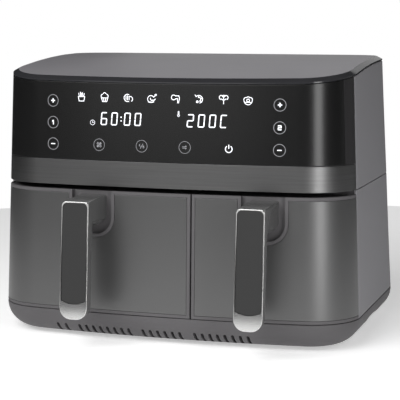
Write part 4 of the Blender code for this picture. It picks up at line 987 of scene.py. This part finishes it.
Mark = tuple[Stroke, tuple[float, ...]]
LINE, ARC, DISC = Stroke.LINE, Stroke.ARC, Stroke.DISC
SIGNS: dict[str, tuple[Mark, ...]] = {
    "plus": ((LINE, (-1.5, 0, 1.5, 0)), (LINE, (0, -1.5, 0, 1.5))),
    "minus": ((LINE, (-1.5, 0, 1.5, 0)),),
    "one": ((LINE, (0.3, -2, 0.3, 2)), (LINE, (0.3, 2, -0.9, 1.1))),
    "two": ((LINE, (-1.5, 2, 1.5, 2)), (LINE, (1.5, 2, 1.5, 0)), (LINE, (1.5, 0, -1.5, 0)),
            (LINE, (-1.5, 0, -1.5, -2)), (LINE, (-1.5, -2, 1.5, -2))),
    "chips": ((LINE, (-2.6, 0.2, -1.9, -3)), (LINE, (-1.9, -3, 1.9, -3)), (LINE, (1.9, -3, 2.6, 0.2)),
              (LINE, (2.6, 0.2, -2.6, 0.2)), (LINE, (-1.8, 0.4, -2.2, 2.6)), (LINE, (-0.7, 0.4, -0.8, 3.4)),
              (LINE, (0.6, 0.4, 0.7, 3.1)), (LINE, (1.7, 0.4, 2.2, 2.4)), (LINE, (-0.1, 0.4, 0, 2.6))),
    "cake": ((LINE, (-2.4, -0.4, -1.7, -3)), (LINE, (-1.7, -3, 1.7, -3)), (LINE, (1.7, -3, 2.4, -0.4)),
             (LINE, (2.6, -0.4, -2.6, -0.4)), (ARC, (-1.5, 0.9, 1.3, 90, 270)), (ARC, (0, 2, 1.4, 20, 160)),
             (ARC, (1.5, 0.9, 1.3, -90, 90)), (LINE, (-0.8, -1, -0.6, -2.6)), (LINE, (0.8, -1, 0.6, -2.6))),
    "ribs": ((ARC, (-0.3, 0, 2.6, 60, 300)), (ARC, (1.8, -0.8, 1.9, -60, 120)),
             (LINE, (-1.4, -1.2, -1.4, 1.4)), (LINE, (-0.2, -1.4, -0.2, 1.6)), (LINE, (1, -1.2, 1, 1.2))),
    "bird": ((ARC, (-0.4, -0.5, 2.5, 30, 330)), (ARC, (0.4, -0.2, 1.2, 150, 330)),
             (LINE, (1.6, 0.8, 3, 2.2)), (ARC, (3.2, 2.5, 0.5, 0, 360)), (LINE, (-2.4, -2.6, 1.8, -2.6)),
             (LINE, (1.8, -1.6, 3, -0.4))),
    "leg": ((ARC, (-1.4, 1, 1.7, 40, 320)), (LINE, (-0.1, 2.1, 2.4, 2.2)), (LINE, (2.4, 2.2, 3, 0.6)),
            (LINE, (-0.1, 0, 1.4, 0.2)), (LINE, (1.4, 0.2, 1.6, -2.6)), (LINE, (3, 0.6, 2.3, -2.6)),
            (LINE, (1.6, -2.8, 2.3, -2.8))),
    "prawn": ((ARC, (-0.4, 0, 2.7, -80, 140)), (ARC, (-0.4, 0, 1.4, -80, 120)),
              (LINE, (-2.4, 1.8, -3.2, 3)), (LINE, (1, 0.4, 2.1, 0.9)), (LINE, (0.6, -1, 1.6, -2)),
              (DISC, (-1.6, -1.8, 0.9)), (LINE, (-0.5, 1.3, -0.6, 2.6))),
    "leaf": ((LINE, (0, -3, 0, 1)), (ARC, (-1.7, 1.5, 1.5, 0, 250)), (ARC, (1.7, 1.5, 1.5, -70, 180)),
             (LINE, (0, -0.6, -1.8, 0.6)), (LINE, (0, -0.6, 1.8, 0.6)), (ARC, (0, 2.1, 1, 0, 180))),
    "steak": ((ARC, (0, -0.4, 2.9, 180, 360)), (ARC, (-1.6, 0.3, 1.5, 60, 200)),
              (ARC, (1.6, 0.3, 1.5, -20, 120)), (ARC, (0, 1, 1.3, 20, 160)), (ARC, (0, -0.3, 1, 0, 360)),
              (LINE, (-2, -1.6, 2, -1.6))),
    "clock": ((ARC, (0, 0, 2.6, 0, 360)), (LINE, (0, 0, 0, 1.6)), (LINE, (0, 0, 1.2, 0))),
    "heat": ((ARC, (0, -1.6, 1.1, 120, 420)), (LINE, (-0.6, -0.8, -0.6, 2.2)),
             (LINE, (0.6, -0.8, 0.6, 2.2)), (ARC, (0, 2.2, 0.6, 0, 180)), (LINE, (0, -1.4, 0, 1.2))),
    "shake": ((LINE, (-2, -2, 2, 2)), (ARC, (-1.5, 1.4, 0.9, 0, 360)), (ARC, (1.5, 1.4, 0.9, 0, 360)),
              (ARC, (-1.5, -1.4, 0.9, 0, 360)), (ARC, (1.5, -1.4, 0.9, 0, 360))),
    "match": ((LINE, (-1.4, -2.4, 1.4, 2.4)), (ARC, (-1.6, 1, 1, 90, 300)), (ARC, (1.6, -1, 1, -90, 120)),
              (LINE, (1.2, -1, 2.4, 0.4))),
    "both": ((LINE, (-2.4, 0.7, 1.8, 0.7)), (LINE, (1.8, 0.7, 0.8, 1.7)), (LINE, (-2.4, -0.7, 1.8, -0.7)),
             (LINE, (1.8, -0.7, 0.8, -1.7))),
    "power": ((ARC, (0, 0, 3.5, 125, 415)), (LINE, (0, 0.8, 0, 4.2))),
}
SEGMENTS = {"0": "abcdef", "2": "abged", "6": "acdefg", "C": "adef"}
SEGMENT_ENDS = {"a": (-1, 2, 1, 2), "b": (1, 2, 1, 0), "c": (1, 0, 1, -2), "d": (-1, -2, 1, -2),
                "e": (-1, 0, -1, -2), "f": (-1, 2, -1, 0), "g": (-1, 0, 1, 0)}


@dataclass
class PanelSigns:
    """Keys, dish pictures and two readings behind the glass, laid on it as thin marks."""

    form: HousingForm
    proud: float = 0.00006
    key_x: float = 0.1245
    key_heights: tuple[float, float, float] = (0.0618, 0.0387, 0.0158)
    key_radius: float = 0.0062
    dish_height: float = 0.0663
    dish_size: float = 1.45
    dish_x: tuple[float, ...] = (-0.0908, -0.0640, -0.0377, -0.0114, 0.0149, 0.0406, 0.0662, 0.0917)
    dishes: tuple[str, ...] = ("chips", "cake", "ribs", "bird", "leg", "prawn", "leaf", "steak")
    reading_height: float = 0.0441
    reading_x: tuple[float, float] = (-0.0676, 0.0281)
    digit: tuple[float, float] = (0.0060, 0.0124)
    digit_pitch: float = 0.0118
    colon_room: float = 0.0028
    low_row: float = 0.0164
    slant: float = 0.08
    segment_width: float = 0.00115
    colon_back: float = 0.0012
    colon_rise: float = 1.9
    colon_radius: float = 0.75
    key_line: float = 0.0010
    key_ring_line: float = 0.00045
    dish_line: float = 0.0007
    small_line: float = 0.0004
    low_line: float = 0.0005
    power_line: float = 0.0009
    clock_place: tuple[float, float] = (-0.0779, 0.0397)
    heat_place: tuple[float, float] = (0.0183, 0.0508)
    low_signs: tuple[tuple[str, float], ...] = (("shake", -0.0703), ("match", -0.0221), ("both", 0.0252))
    power_x: float = 0.0721
    power_drop: float = 0.0005

    def stroke(self, work: Workpiece, centre: tuple[float, float], mark: Mark, width: float) -> None:
        """Draw one mark as a flat strip or disc.

        Args:
            work: Workpiece that takes it.
            centre: The sign's place along the front and up.
            mark: Kind and numbers of the mark, in millimetres.
            width: Width of its line.
        """
        kind, numbers = mark
        values = [number / 1000 for number in numbers]
        cx, cz = centre
        before = set(work.bm.verts)
        if kind is Stroke.LINE:
            start, end = Vector((values[0], 0, values[1])), Vector((values[2], 0, values[3]))
            run = end - start
            half = run.length / 2 + width / 2
            work.rectangle((-half, -width / 2), (half, width / 2), 0.0, width * 0.4)
            turn = Matrix.Rotation(-math.atan2(run.z, run.x), 4, "Y")
            place = Matrix.Translation(Vector((cx, 0, cz)) + (start + end) / 2) @ turn
            bmesh.ops.transform(work.bm, matrix=place, verts=[v for v in work.bm.verts if v not in before])
        elif kind is Stroke.DISC:
            made = bmesh.ops.create_circle(work.bm, cap_ends=True, segments=14, radius=values[2])["verts"]
            place = Matrix.Translation((cx + values[0], 0, cz + values[1]))
            turn = Matrix.Rotation(math.pi / 2, 4, "X")
            bmesh.ops.transform(work.bm, matrix=place @ turn, verts=made)
        else:
            radius, start, end = values[2], math.radians(numbers[3]), math.radians(numbers[4])
            centre_point = Vector((cx + values[0], 0, cz + values[1]))
            out = Vector((math.cos(start), 0, math.sin(start)))
            ends = [work.bm.verts.new(centre_point + out * (radius + half))
                    for half in (-width / 2, width / 2)]
            edge = work.bm.edges.new(ends)
            steps = max(4, round((end - start) * 5))
            bmesh.ops.spin(work.bm, geom=[*ends, edge], cent=centre_point, axis=(0, -1, 0), angle=end - start,
                           steps=steps, use_merge=numbers[4] - numbers[3] >= 360, use_normal_flip=False)

    def height(self, rise: float) -> float:
        """Height of a place above the panel's foot."""
        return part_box("control_glass")[0].z + rise

    def sign(self, work: Workpiece, name: str, x: float, rise: float, width: float = 0.00055,
             ring: float = 0.0, ring_width: float = 0.00035, size: float = 1.0) -> None:
        """Draw a sign at an x and a rise above the panel's foot, in a ring of a radius if given."""
        centre = (self.form.at_x(x), self.height(rise))
        for kind, numbers in SIGNS[name]:
            lengths = 3 if kind in (Stroke.ARC, Stroke.DISC) else 4
            scaled = tuple(number * size for number in numbers[:lengths]) + tuple(numbers[lengths:])
            self.stroke(work, centre, (kind, scaled), width)
        if ring:
            self.stroke(work, centre, (ARC, (0, 0, ring * 1000, 0, 360)), ring_width)

    def reading(self, work: Workpiece, text: str, x: float, colon_after: int | None = None) -> None:
        """Draw a reading in seven-segment figures, from its left edge."""
        width, height = self.digit
        for place, figure in enumerate(text):
            shift = self.colon_room if colon_after is not None and place > colon_after else 0.0
            middle = self.form.at_x(x + width / 2 + place * self.digit_pitch + shift)
            for name in SEGMENTS[figure]:
                ends = [value * size * 500 for value, size in
                        zip(SEGMENT_ENDS[name], (width, height / 2, width, height / 2))]
                run = Vector((ends[2] - ends[0], ends[3] - ends[1]))
                trim = run.normalized() * 0.75
                marks = (ends[0] + trim.x, ends[1] + trim.y, ends[2] - trim.x, ends[3] - trim.y)
                marks = (marks[0] + marks[1] * self.slant, marks[1],
                         marks[2] + marks[3] * self.slant, marks[3])
                self.stroke(work, (middle, self.height(self.reading_height)), (LINE, marks),
                            self.segment_width)
        if colon_after is not None:
            colon = self.form.at_x(x + (colon_after + 1) * self.digit_pitch - self.colon_back)
            for rise in (-self.colon_rise, self.colon_rise):
                dot = (DISC, (0, rise, self.colon_radius))
                self.stroke(work, (colon, self.height(self.reading_height)), dot, 0.0)

    def build(self) -> None:
        """Make the bright and the faint signs."""
        bright, faint = Workpiece(), Workpiece()
        for x, names in ((-self.key_x, ("plus", "one", "minus")), (self.key_x, ("plus", "two", "minus"))):
            for name, z in zip(names, self.key_heights):
                self.sign(bright, name, x, z, self.key_line, size=1.25 if name in ("plus", "minus") else 1.0)
                ring = (ARC, (0, 0, self.key_radius * 1000, 0, 360))
                self.stroke(faint, (self.form.at_x(x), self.height(z)), ring, self.key_ring_line)
        for x, name in zip(self.dish_x, self.dishes):
            self.sign(bright, name, x, self.dish_height, self.dish_line, size=self.dish_size)
        self.reading(bright, "6000", self.reading_x[0], colon_after=1)
        self.reading(bright, "200C", self.reading_x[1])
        self.sign(bright, "clock", *self.clock_place, self.small_line)
        self.sign(bright, "heat", *self.heat_place, self.small_line)
        for name, x in self.low_signs:
            self.sign(faint, name, x, self.low_row, self.low_line, self.key_radius)
        self.sign(bright, "power", self.power_x, self.low_row - self.power_drop, self.power_line)
        for name, work, finish in (("lit_signs", bright, LIT_WHITE), ("faint_signs", faint, DIM_WHITE)):
            work.thicken(-self.proud)
            bmesh.ops.translate(work.bm, vec=(0.0, -self.proud / 4, 0.0), verts=work.bm.verts)
            work.bend(self.form).face_out()
            work.hand_over(name, "housing", finish)


# ---- Drawers and handles --------------------------------------------------------------------------------
@dataclass
class Handle:
    """One handle: gunmetal arm and grip back, silver trim with its cap, and a satin insert."""

    form: HousingForm
    side: str
    corner_low: float = 0.0120
    corner_high: float = 0.0045
    arm_height: float = 0.0320
    arm_edge: float = 0.0085
    arm_fillet: float = 0.0020
    notch_depth: float = 0.0060
    gap: float = 0.0003
    lean: float = 0.0090
    thickness: float = 0.0120
    foot_bow: float = 0.0036
    shoulder: float = 0.0052

    def leaning(self, work: Workpiece, before: float = 1.0) -> Workpiece:
        """Lean a piece back towards its top, as the grip does.

        Args:
            work: Piece drawn upright in the plane of the grip's foot.
            before: Only points in front of this y move.

        Returns:
            The same piece.
        """
        low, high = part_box(f"{self.side}_handle_trim")
        for vert in work.bm.verts:
            if vert.co.y < before:
                vert.co.y += self.lean * (vert.co.z - low.z) / (high.z - low.z)
        return work

    def grip(self, low: Vector, high: Vector, depth: float, inset: float = 0.0,
             corner: float | None = None) -> Workpiece:
        """Flat outline of the grip, inset from the given box."""
        bottom = (corner if corner is not None else self.corner_low) - inset
        top = self.corner_high - inset * 0.5
        left, right, foot, head = low.x + inset, high.x - inset, low.z + inset, high.z - inset
        return Workpiece().outline(((left, foot, bottom), (right, foot, bottom), (right, head, top),
                                    (left, head, top)), depth)

    def build(self) -> None:
        """Make the arm, the trim and the insert."""
        body = f"{self.side}_drawer"
        trim_low, trim_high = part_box(f"{self.side}_handle_trim")
        arm_low, arm_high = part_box(f"{self.side}_handle_arm")
        insert_low, insert_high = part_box(f"{self.side}_handle_insert")
        depth = trim_high.y - trim_low.y - self.lean
        face, grip_back = trim_low.y + depth + self.gap, trim_low.y + self.thickness
        grip = self.grip(trim_low, trim_high, face).thicken(grip_back - face).soften(0.0011, 3, both=True)
        root = self.arm(arm_low, arm_high, trim_high.z, face + self.gap)
        self.leaning(grip).combine(self.leaning(root, face + 2 * self.gap), Operation.UNION)
        grip.hand_over(f"{self.side}_arm", body, GUNMETAL, [f"{self.side}_handle_arm"], sharp=40.0)
        trim = self.grip(trim_low, trim_high, trim_low.y).thicken(depth).soften(0.0005, 3)
        seat = self.insert(insert_low, insert_high, trim_low.y - 0.005, 0.0002).thicken(0.020)
        self.leaning(trim).combine(self.leaning(seat), Operation.DIFFERENCE)
        trim.hand_over(f"{self.side}_trim", body, BRIGHT_SILVER, [f"{self.side}_handle_trim"])
        insert = self.insert(insert_low, insert_high, trim_low.y + 0.0002, 0.0)
        self.leaning(insert.thicken(depth - 0.0002).soften(0.0006, 3))
        insert.hand_over(f"{self.side}_grip_insert", body, BLACK_PLASTIC, [f"{self.side}_handle_insert"])

    def insert(self, low: Vector, high: Vector, depth: float, spare: float) -> Workpiece:
        """Flat outline of the insert: round shoulders and a foot that bows downwards."""
        middle, half = (low.x + high.x) / 2, (high.x - low.x) / 2 + spare
        steps = 8
        foot = [(middle + half * (2 * i / steps - 1), 0.0) for i in range(steps + 1)]
        corners = [(x, low.z - spare + self.foot_bow * ((x - middle) / half) ** 2, rounding)
                   for x, rounding in foot]
        corners += [(middle + half, high.z + spare, self.shoulder),
                    (middle - half, high.z + spare, self.shoulder)]
        return Workpiece().outline(corners, depth)

    def arm(self, low: Vector, high: Vector, grip_top: float, face: float) -> Workpiece:
        """The arm from the grip's face into the notch, with cut lower corners and a falling top."""
        end = self.form.centre_y - self.form.front + self.notch_depth + 0.0080
        foot = high.z - self.arm_height
        root = Workpiece().outline(((low.x, foot, 0.0), (high.x, foot, 0.0),
                                    (high.x, high.z, self.arm_fillet), (low.x, high.z, self.arm_fillet)),
                                   face, segments=4)
        corners = [vert for vert in root.bm.verts if abs(vert.co.z - foot) < 1e-6]
        bmesh.ops.bevel(root.bm, geom=corners, offset=self.arm_edge, offset_type="OFFSET", affect="VERTICES",
                        segments=3, profile=0.36, material=-1)
        root.thicken(end - face)
        for vert in root.bm.verts:
            if vert.co.z > grip_top - 0.004:
                share = (end - vert.co.y) / (end - face)
                vert.co.z -= share * (high.z - grip_top)
            if vert.co.y > end - 1e-6:
                along = self.form.at_x(vert.co.x)
                vert.co.y = self.form.point(along, self.notch_depth - 0.0001, vert.co.z).y
        root.bm.normal_update()
        return root


@dataclass
class Drawer:
    """One drawer: moulded front with its notch, steel skin, pan and handle."""

    form: HousingForm
    side: str
    border: float = 0.0038
    skin: float = 0.0008
    gap: float = 0.0003
    wall: float = 0.0026
    notch_spare: float = 0.0078
    notch_height: float = 0.0462
    notch_radius: float = 0.0180
    notch_depth: float = 0.0060
    core_margin: float = 0.0008
    core_length: float = 0.100
    cut_lead: float = 0.004
    cut_start: float = -0.020
    cut_length: float = 0.040
    cut_above: float = 0.010
    room_depth: float = 0.030

    def span(self) -> tuple[float, float, float, float]:
        """Places along the flat pattern of the front's two ends, then its bottom and top."""
        low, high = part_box(f"{self.side}_drawer_front")
        end = self.form.parting()
        if self.side == "left":
            return -end, self.form.at_x(high.x), low.z, high.z
        return self.form.at_x(low.x), end, low.z, high.z

    def notch(self, margin: float, depth: float, thickness: float, top: float) -> Workpiece:
        """Bent prism of the notch, grown by a margin."""
        low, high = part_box(f"{self.side}_handle_trim")
        _, front_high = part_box(f"{self.side}_drawer_front")
        half = (high.x - low.x) / 2 + self.notch_spare + margin
        middle, bottom = (low.x + high.x) / 2, front_high.z - self.notch_height - margin
        radius = self.notch_radius + margin
        left, right = self.form.at_x(middle - half), self.form.at_x(middle + half)
        work = Workpiece().outline(((left, bottom, radius), (right, bottom, radius), (right, top, 0.0),
                                    (left, top, 0.0)), depth, segments=10)
        work.thicken(thickness).slice(self.form.stations(left, right))
        return work

    def plate(self, margin: float, depth: float, thickness: float, seam_margin: float) -> Workpiece:
        """Flat plate over the front, kept back from its edges and from its end at the joint."""
        start, end, low, high = self.span()
        start += seam_margin if self.side == "left" else margin
        end -= seam_margin if self.side == "right" else margin
        return Workpiece().rectangle((start, low + margin), (end, high - margin), depth).thicken(thickness)

    def build_front(self) -> None:
        """Make the moulded front: a bent block with a notch and seats for skin and backplate."""
        start, end, _, high = self.span()
        rear = self.form.centre_y - self.form.front + self.form.parting_setback
        body = self.plate(0.0, 0.0, self.wall, 0.0).soften(0.0009, 3)
        body.slice(self.form.stations(start, end)).bend(self.form)
        core = self.plate(self.core_margin, self.wall * 0.5, self.core_length, 0.0)
        core.slice(self.form.stations(start, end))
        core.remap(lambda flat: self.core_point(flat, rear - 0.0001))
        body.combine(core.face_out(), Operation.UNION)
        notch = self.notch(0.0, -self.cut_lead, self.notch_depth + self.cut_lead, high + self.cut_above)
        body.combine(notch.bend(self.form).face_out(), Operation.DIFFERENCE)
        seat = self.plate(self.border - self.gap, -0.003, self.skin + 2 * self.gap + 0.003, -0.001)
        seat_notch = self.notch(self.border - self.gap, self.cut_start, self.cut_length,
                                high + self.cut_above)
        seat.combine(seat_notch, Operation.DIFFERENCE)
        seat.slice(self.form.stations(start, end)).bend(self.form)
        body.combine(seat.face_out(), Operation.DIFFERENCE)
        plate_low, plate_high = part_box(f"{self.side}_backplate")
        spare = self.gap
        room = Workpiece().rectangle((plate_low.x - spare, plate_low.z - spare),
                                     (plate_high.x + spare, plate_high.z + spare), plate_low.y - spare)
        body.combine(room.thicken(self.room_depth), Operation.DIFFERENCE)
        body.hand_over(f"{self.side}_front", f"{self.side}_drawer", DARK_PLASTIC,
                       [f"{self.side}_drawer_front"])

    def core_point(self, flat: Vector, rear: float) -> Vector:
        """Bend a point of the core's front; its back is flat across the drawer."""
        point = self.form.point(flat.x, self.wall * 0.5, flat.z)
        if flat.y > self.core_length / 2:
            point.y = rear
        return point

    def build_skin(self) -> None:
        """Make the brushed skin, bent round the corner up to the upright joint."""
        start, end, _, high = self.span()
        skin = self.plate(self.border, 0.0, self.skin, 0.0006)
        skin_notch = self.notch(self.border, self.cut_start, self.cut_length, high + self.cut_above)
        skin.combine(skin_notch, Operation.DIFFERENCE)
        skin.soften(0.0003, 2).slice(self.form.stations(start, end)).bend(self.form)
        skin.hand_over(f"{self.side}_skin", f"{self.side}_drawer", DARK_STEEL, [f"{self.side}_drawer_skin"])

    def build_pan(self) -> None:
        """Make the coated pan: a tapered tub with a rounded foot and a rolled rim."""
        low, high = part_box(f"{self.side}_pan")
        wall, flange, taper, corner, foot = 0.0012, 0.0035, 0.0050, 0.0240, 0.0060
        lip = high.z - 0.0012
        levels = [(0.0, lip), (0.0, high.z - 0.0004), (0.0004, high.z),
                  (flange + wall - 0.0005, high.z), (flange + wall, high.z - 0.0010)]
        inner_floor, outer_floor = low.z + wall, low.z
        steps = 5
        turns = [math.pi / 2 * i / steps for i in range(steps + 1)]
        bends = [(foot * (1 - math.cos(turn)), foot * (1 - math.sin(turn))) for turn in turns]
        levels += [(flange + wall + taper + across, inner_floor + up) for across, up in bends]
        under = [(flange + taper + across, outer_floor + up) for across, up in bends]
        outside = self.tub(low, high, [*under[::-1], (flange, lip), (0.0, lip)], corner)
        tub = self.tub(low, high, levels, corner).add(outside)
        tub.close()
        tub.hand_over(f"{self.side}_tub", f"{self.side}_drawer", PAN_COATING, [f"{self.side}_pan"])

    def tub(self, low: Vector, high: Vector, levels: Sequence[tuple[float, float]],
            corner: float) -> Workpiece:
        """Bridge rounded rectangles at each level, given as inset and height."""
        work = Workpiece()
        loops: list[list[int]] = []
        for inset, height in levels:
            ring = Workpiece()
            verts = [ring.bm.verts.new((x, y, height)) for x, y in
                     ((low.x + inset, low.y + inset), (high.x - inset, low.y + inset),
                      (high.x - inset, high.y - inset), (low.x + inset, high.y - inset))]
            ring.bm.faces.new(verts)
            bmesh.ops.bevel(ring.bm, geom=verts, offset=max(0.002, corner - inset), offset_type="OFFSET",
                            affect="VERTICES", segments=8, profile=0.5, material=-1)
            bmesh.ops.delete(ring.bm, geom=list(ring.bm.faces), context="FACES_ONLY")
            count = len(work.bm.edges)
            work.add(ring)
            work.bm.edges.ensure_lookup_table()
            loops.append(list(range(count, len(work.bm.edges))))
        work.bm.edges.ensure_lookup_table()
        pairs = [[work.bm.edges[i] for i in first + second] for first, second in zip(loops, loops[1:])]
        for pair in pairs:
            bmesh.ops.bridge_loops(work.bm, edges=pair)
        bmesh.ops.remove_doubles(work.bm, verts=work.bm.verts, dist=1e-7)
        return work

    def build(self) -> None:
        """Make the drawer's pieces and its handle."""
        self.build_front()
        self.build_skin()
        self.build_pan()
        Handle(self.form, self.side).build()


# ---- Parts kept as they are in the frame ----------------------------------------------------------------
@dataclass
class InnerParts:
    """Nodes of the frame whose shape is right, which only get their finish."""

    def finish_of(self, slot: str) -> Finish:
        """Find the finish of a material slot."""
        table = {finish.slot: finish for finish in (
            SATIN_GREY, DARK_PLASTIC, BLACK_PLASTIC, WHITE_PLASTIC, SILICONE, RUBBER, GLOSS_BLACK, GUNMETAL,
            BRIGHT_SILVER, ALUMINIUM, GALVANISED, HEATER_STEEL, PAN_COATING, BOARD_GREEN)}
        return table[slot]

    def build(self) -> None:
        """Dress every node that is still shown."""
        for subpart in frame["record"]["subparts"]:
            node = frame["nodes"][subpart["node"]]
            if node.hide_render:
                continue
            node.data.materials.clear()
            node.data.materials.append(self.finish_of(subpart["material_slot"]).material())
            LOG.info("%s: kept, in %s", node.name, subpart["material_slot"])


# ---- Studio ---------------------------------------------------------------------------------------------
@dataclass
class Studio:
    """Camera, pale floor and soft lights."""

    form: HousingForm
    lens: float = 126.883
    yaw: float = 17.617
    pitch: float = 7.334
    roll: float = 0.082
    distance: float = 1.60607
    aim: tuple[float, float] = (-0.00299, 0.10670)
    white: float = 1.0
    sensor: float = 36.0
    light_aim: float = 0.150
    room_colour: Colour = (0.02, 0.02, 0.021)
    floor_radius: float = 0.9
    floor_shift: float = 0.15
    floor_drop: float = 0.0002
    floor_glow: float = 0.42

    def build_camera(self) -> None:
        """Set the camera by its turn, fall and distance from the housing's middle."""
        yaw, pitch, roll = (math.radians(value) for value in (self.yaw, self.pitch, self.roll))
        back = Vector((math.sin(yaw) * math.cos(pitch), -math.cos(yaw) * math.cos(pitch), math.sin(pitch)))
        right = Vector((math.cos(yaw), math.sin(yaw), 0.0))
        up = back.cross(right)
        across = right * math.cos(roll) + up * math.sin(roll)
        upright = up * math.cos(roll) - right * math.sin(roll)
        data = bpy.data.cameras.new("camera")
        data.lens, data.sensor_width = self.lens, self.sensor
        camera = bpy.data.objects.new("camera", data)
        bpy.context.scene.collection.objects.link(camera)
        aim_height = self.form.seam_z + self.aim[1]
        target = Vector((0.0, self.form.centre_y, aim_height)) + right * self.aim[0]
        turn = Matrix((across, upright, back)).transposed().to_4x4()
        camera.matrix_world = Matrix.Translation(target + back * self.distance) @ turn
        bpy.context.scene.camera = camera

    def light(self, name: str, azimuth: float, height: float, distance: float, size: tuple[float, float],
              power: float) -> None:
        """Hang a soft box that faces the object.

        Args:
            name: Name of the light.
            azimuth: Degrees to the right of straight in front.
            height: Height of its middle.
            distance: Distance from the object, level.
            size: Width and height.
            power: Watts.
        """
        data = bpy.data.lights.new(name, "AREA")
        data.shape, data.size, data.size_y, data.energy = "RECTANGLE", *size, power
        lamp = bpy.data.objects.new(name, data)
        bpy.context.scene.collection.objects.link(lamp)
        turn = math.radians(azimuth)
        aim = Vector((0.0, self.form.centre_y, self.light_aim))
        lamp.location = (math.sin(turn) * distance, -math.cos(turn) * distance, height)
        lamp.rotation_mode = "QUATERNION"
        lamp.rotation_quaternion = (aim - lamp.location).to_track_quat("-Z", "Y")

    def build_world(self) -> None:
        """White backdrop, and a dim even room for everything else."""
        world = bpy.data.worlds.new("studio")
        bpy.context.scene.world = world
        world.use_nodes = True
        tree = world.node_tree
        backdrop = tree.nodes["Background"]
        backdrop.inputs["Color"].default_value = (self.white, self.white, self.white, 1.0)
        room = tree.nodes.new("ShaderNodeBackground")
        room.inputs["Color"].default_value = (*self.room_colour, 1.0)
        seen = tree.nodes.new("ShaderNodeLightPath")
        mix = tree.nodes.new("ShaderNodeMixShader")
        tree.links.new(seen.outputs["Is Camera Ray"], mix.inputs["Fac"])
        tree.links.new(room.outputs["Background"], mix.inputs[1])
        tree.links.new(backdrop.outputs["Background"], mix.inputs[2])
        tree.links.new(mix.outputs["Shader"], tree.nodes["World Output"].inputs["Surface"])

    def build_floor(self) -> None:
        """Pale round floor."""
        floor = Workpiece()
        made = bmesh.ops.create_circle(floor.bm, cap_ends=True, segments=64, radius=self.floor_radius)
        middle = (0.0, self.form.centre_y + self.floor_shift, -self.floor_drop)
        bmesh.ops.translate(floor.bm, vec=middle, verts=made["verts"])
        graph = Graph("pale_floor")
        graph.set(Base_Color=graph.blend(graph.noise(3.0), (0.86, 0.86, 0.86), (0.90, 0.90, 0.90)),
                  Roughness=0.9, Emission_Color=(1.0, 1.0, 1.0, 1.0), Emission_Strength=self.floor_glow)
        mesh = bpy.data.meshes.new("floor")
        floor.bm.to_mesh(mesh)
        floor.bm.free()
        mesh.materials.append(graph.material)
        obj = bpy.data.objects.new("floor", mesh)
        bpy.context.scene.collection.objects.link(obj)

    def build(self) -> None:
        """Make the world, the floor and the lights, and show colours as they are."""
        self.build_world()
        self.build_floor()
        self.light("front_high", -20.0, 1.70, 1.2, (1.2, 0.8), 10.6)
        self.light("front_low", -18.0, 1.05, 1.5, (1.8, 0.45), 21.0)
        self.light("strip_right", 44.0, 0.45, 1.3, (0.34, 1.2), 6.9)
        self.light("back_low", 170.0, 0.75, 1.6, (2.2, 0.8), 2.6)
        self.light("far_card", -17.6, 0.35, 3.5, (1.6, 0.6), 2.6)
        self.light("side_right", 112.0, 0.5, 1.4, (1.0, 1.0), 0.5)
        bpy.context.scene.view_settings.view_transform = "Standard"


def main() -> None:
    """Build every part in order."""
    logging.basicConfig(level=logging.INFO, format="%(name)s: %(message)s")
    form = HousingForm.from_frame()
    studio = Studio(form)
    studio.build_camera()
    for part in (BaseTray(form), RearShells(form), Lid(form), Fascia(form), PanelSigns(form),
                 Drawer(form, "left"), Drawer(form, "right"), InnerParts(), studio):
        part.build()


if __name__ == "__main__":
    main()
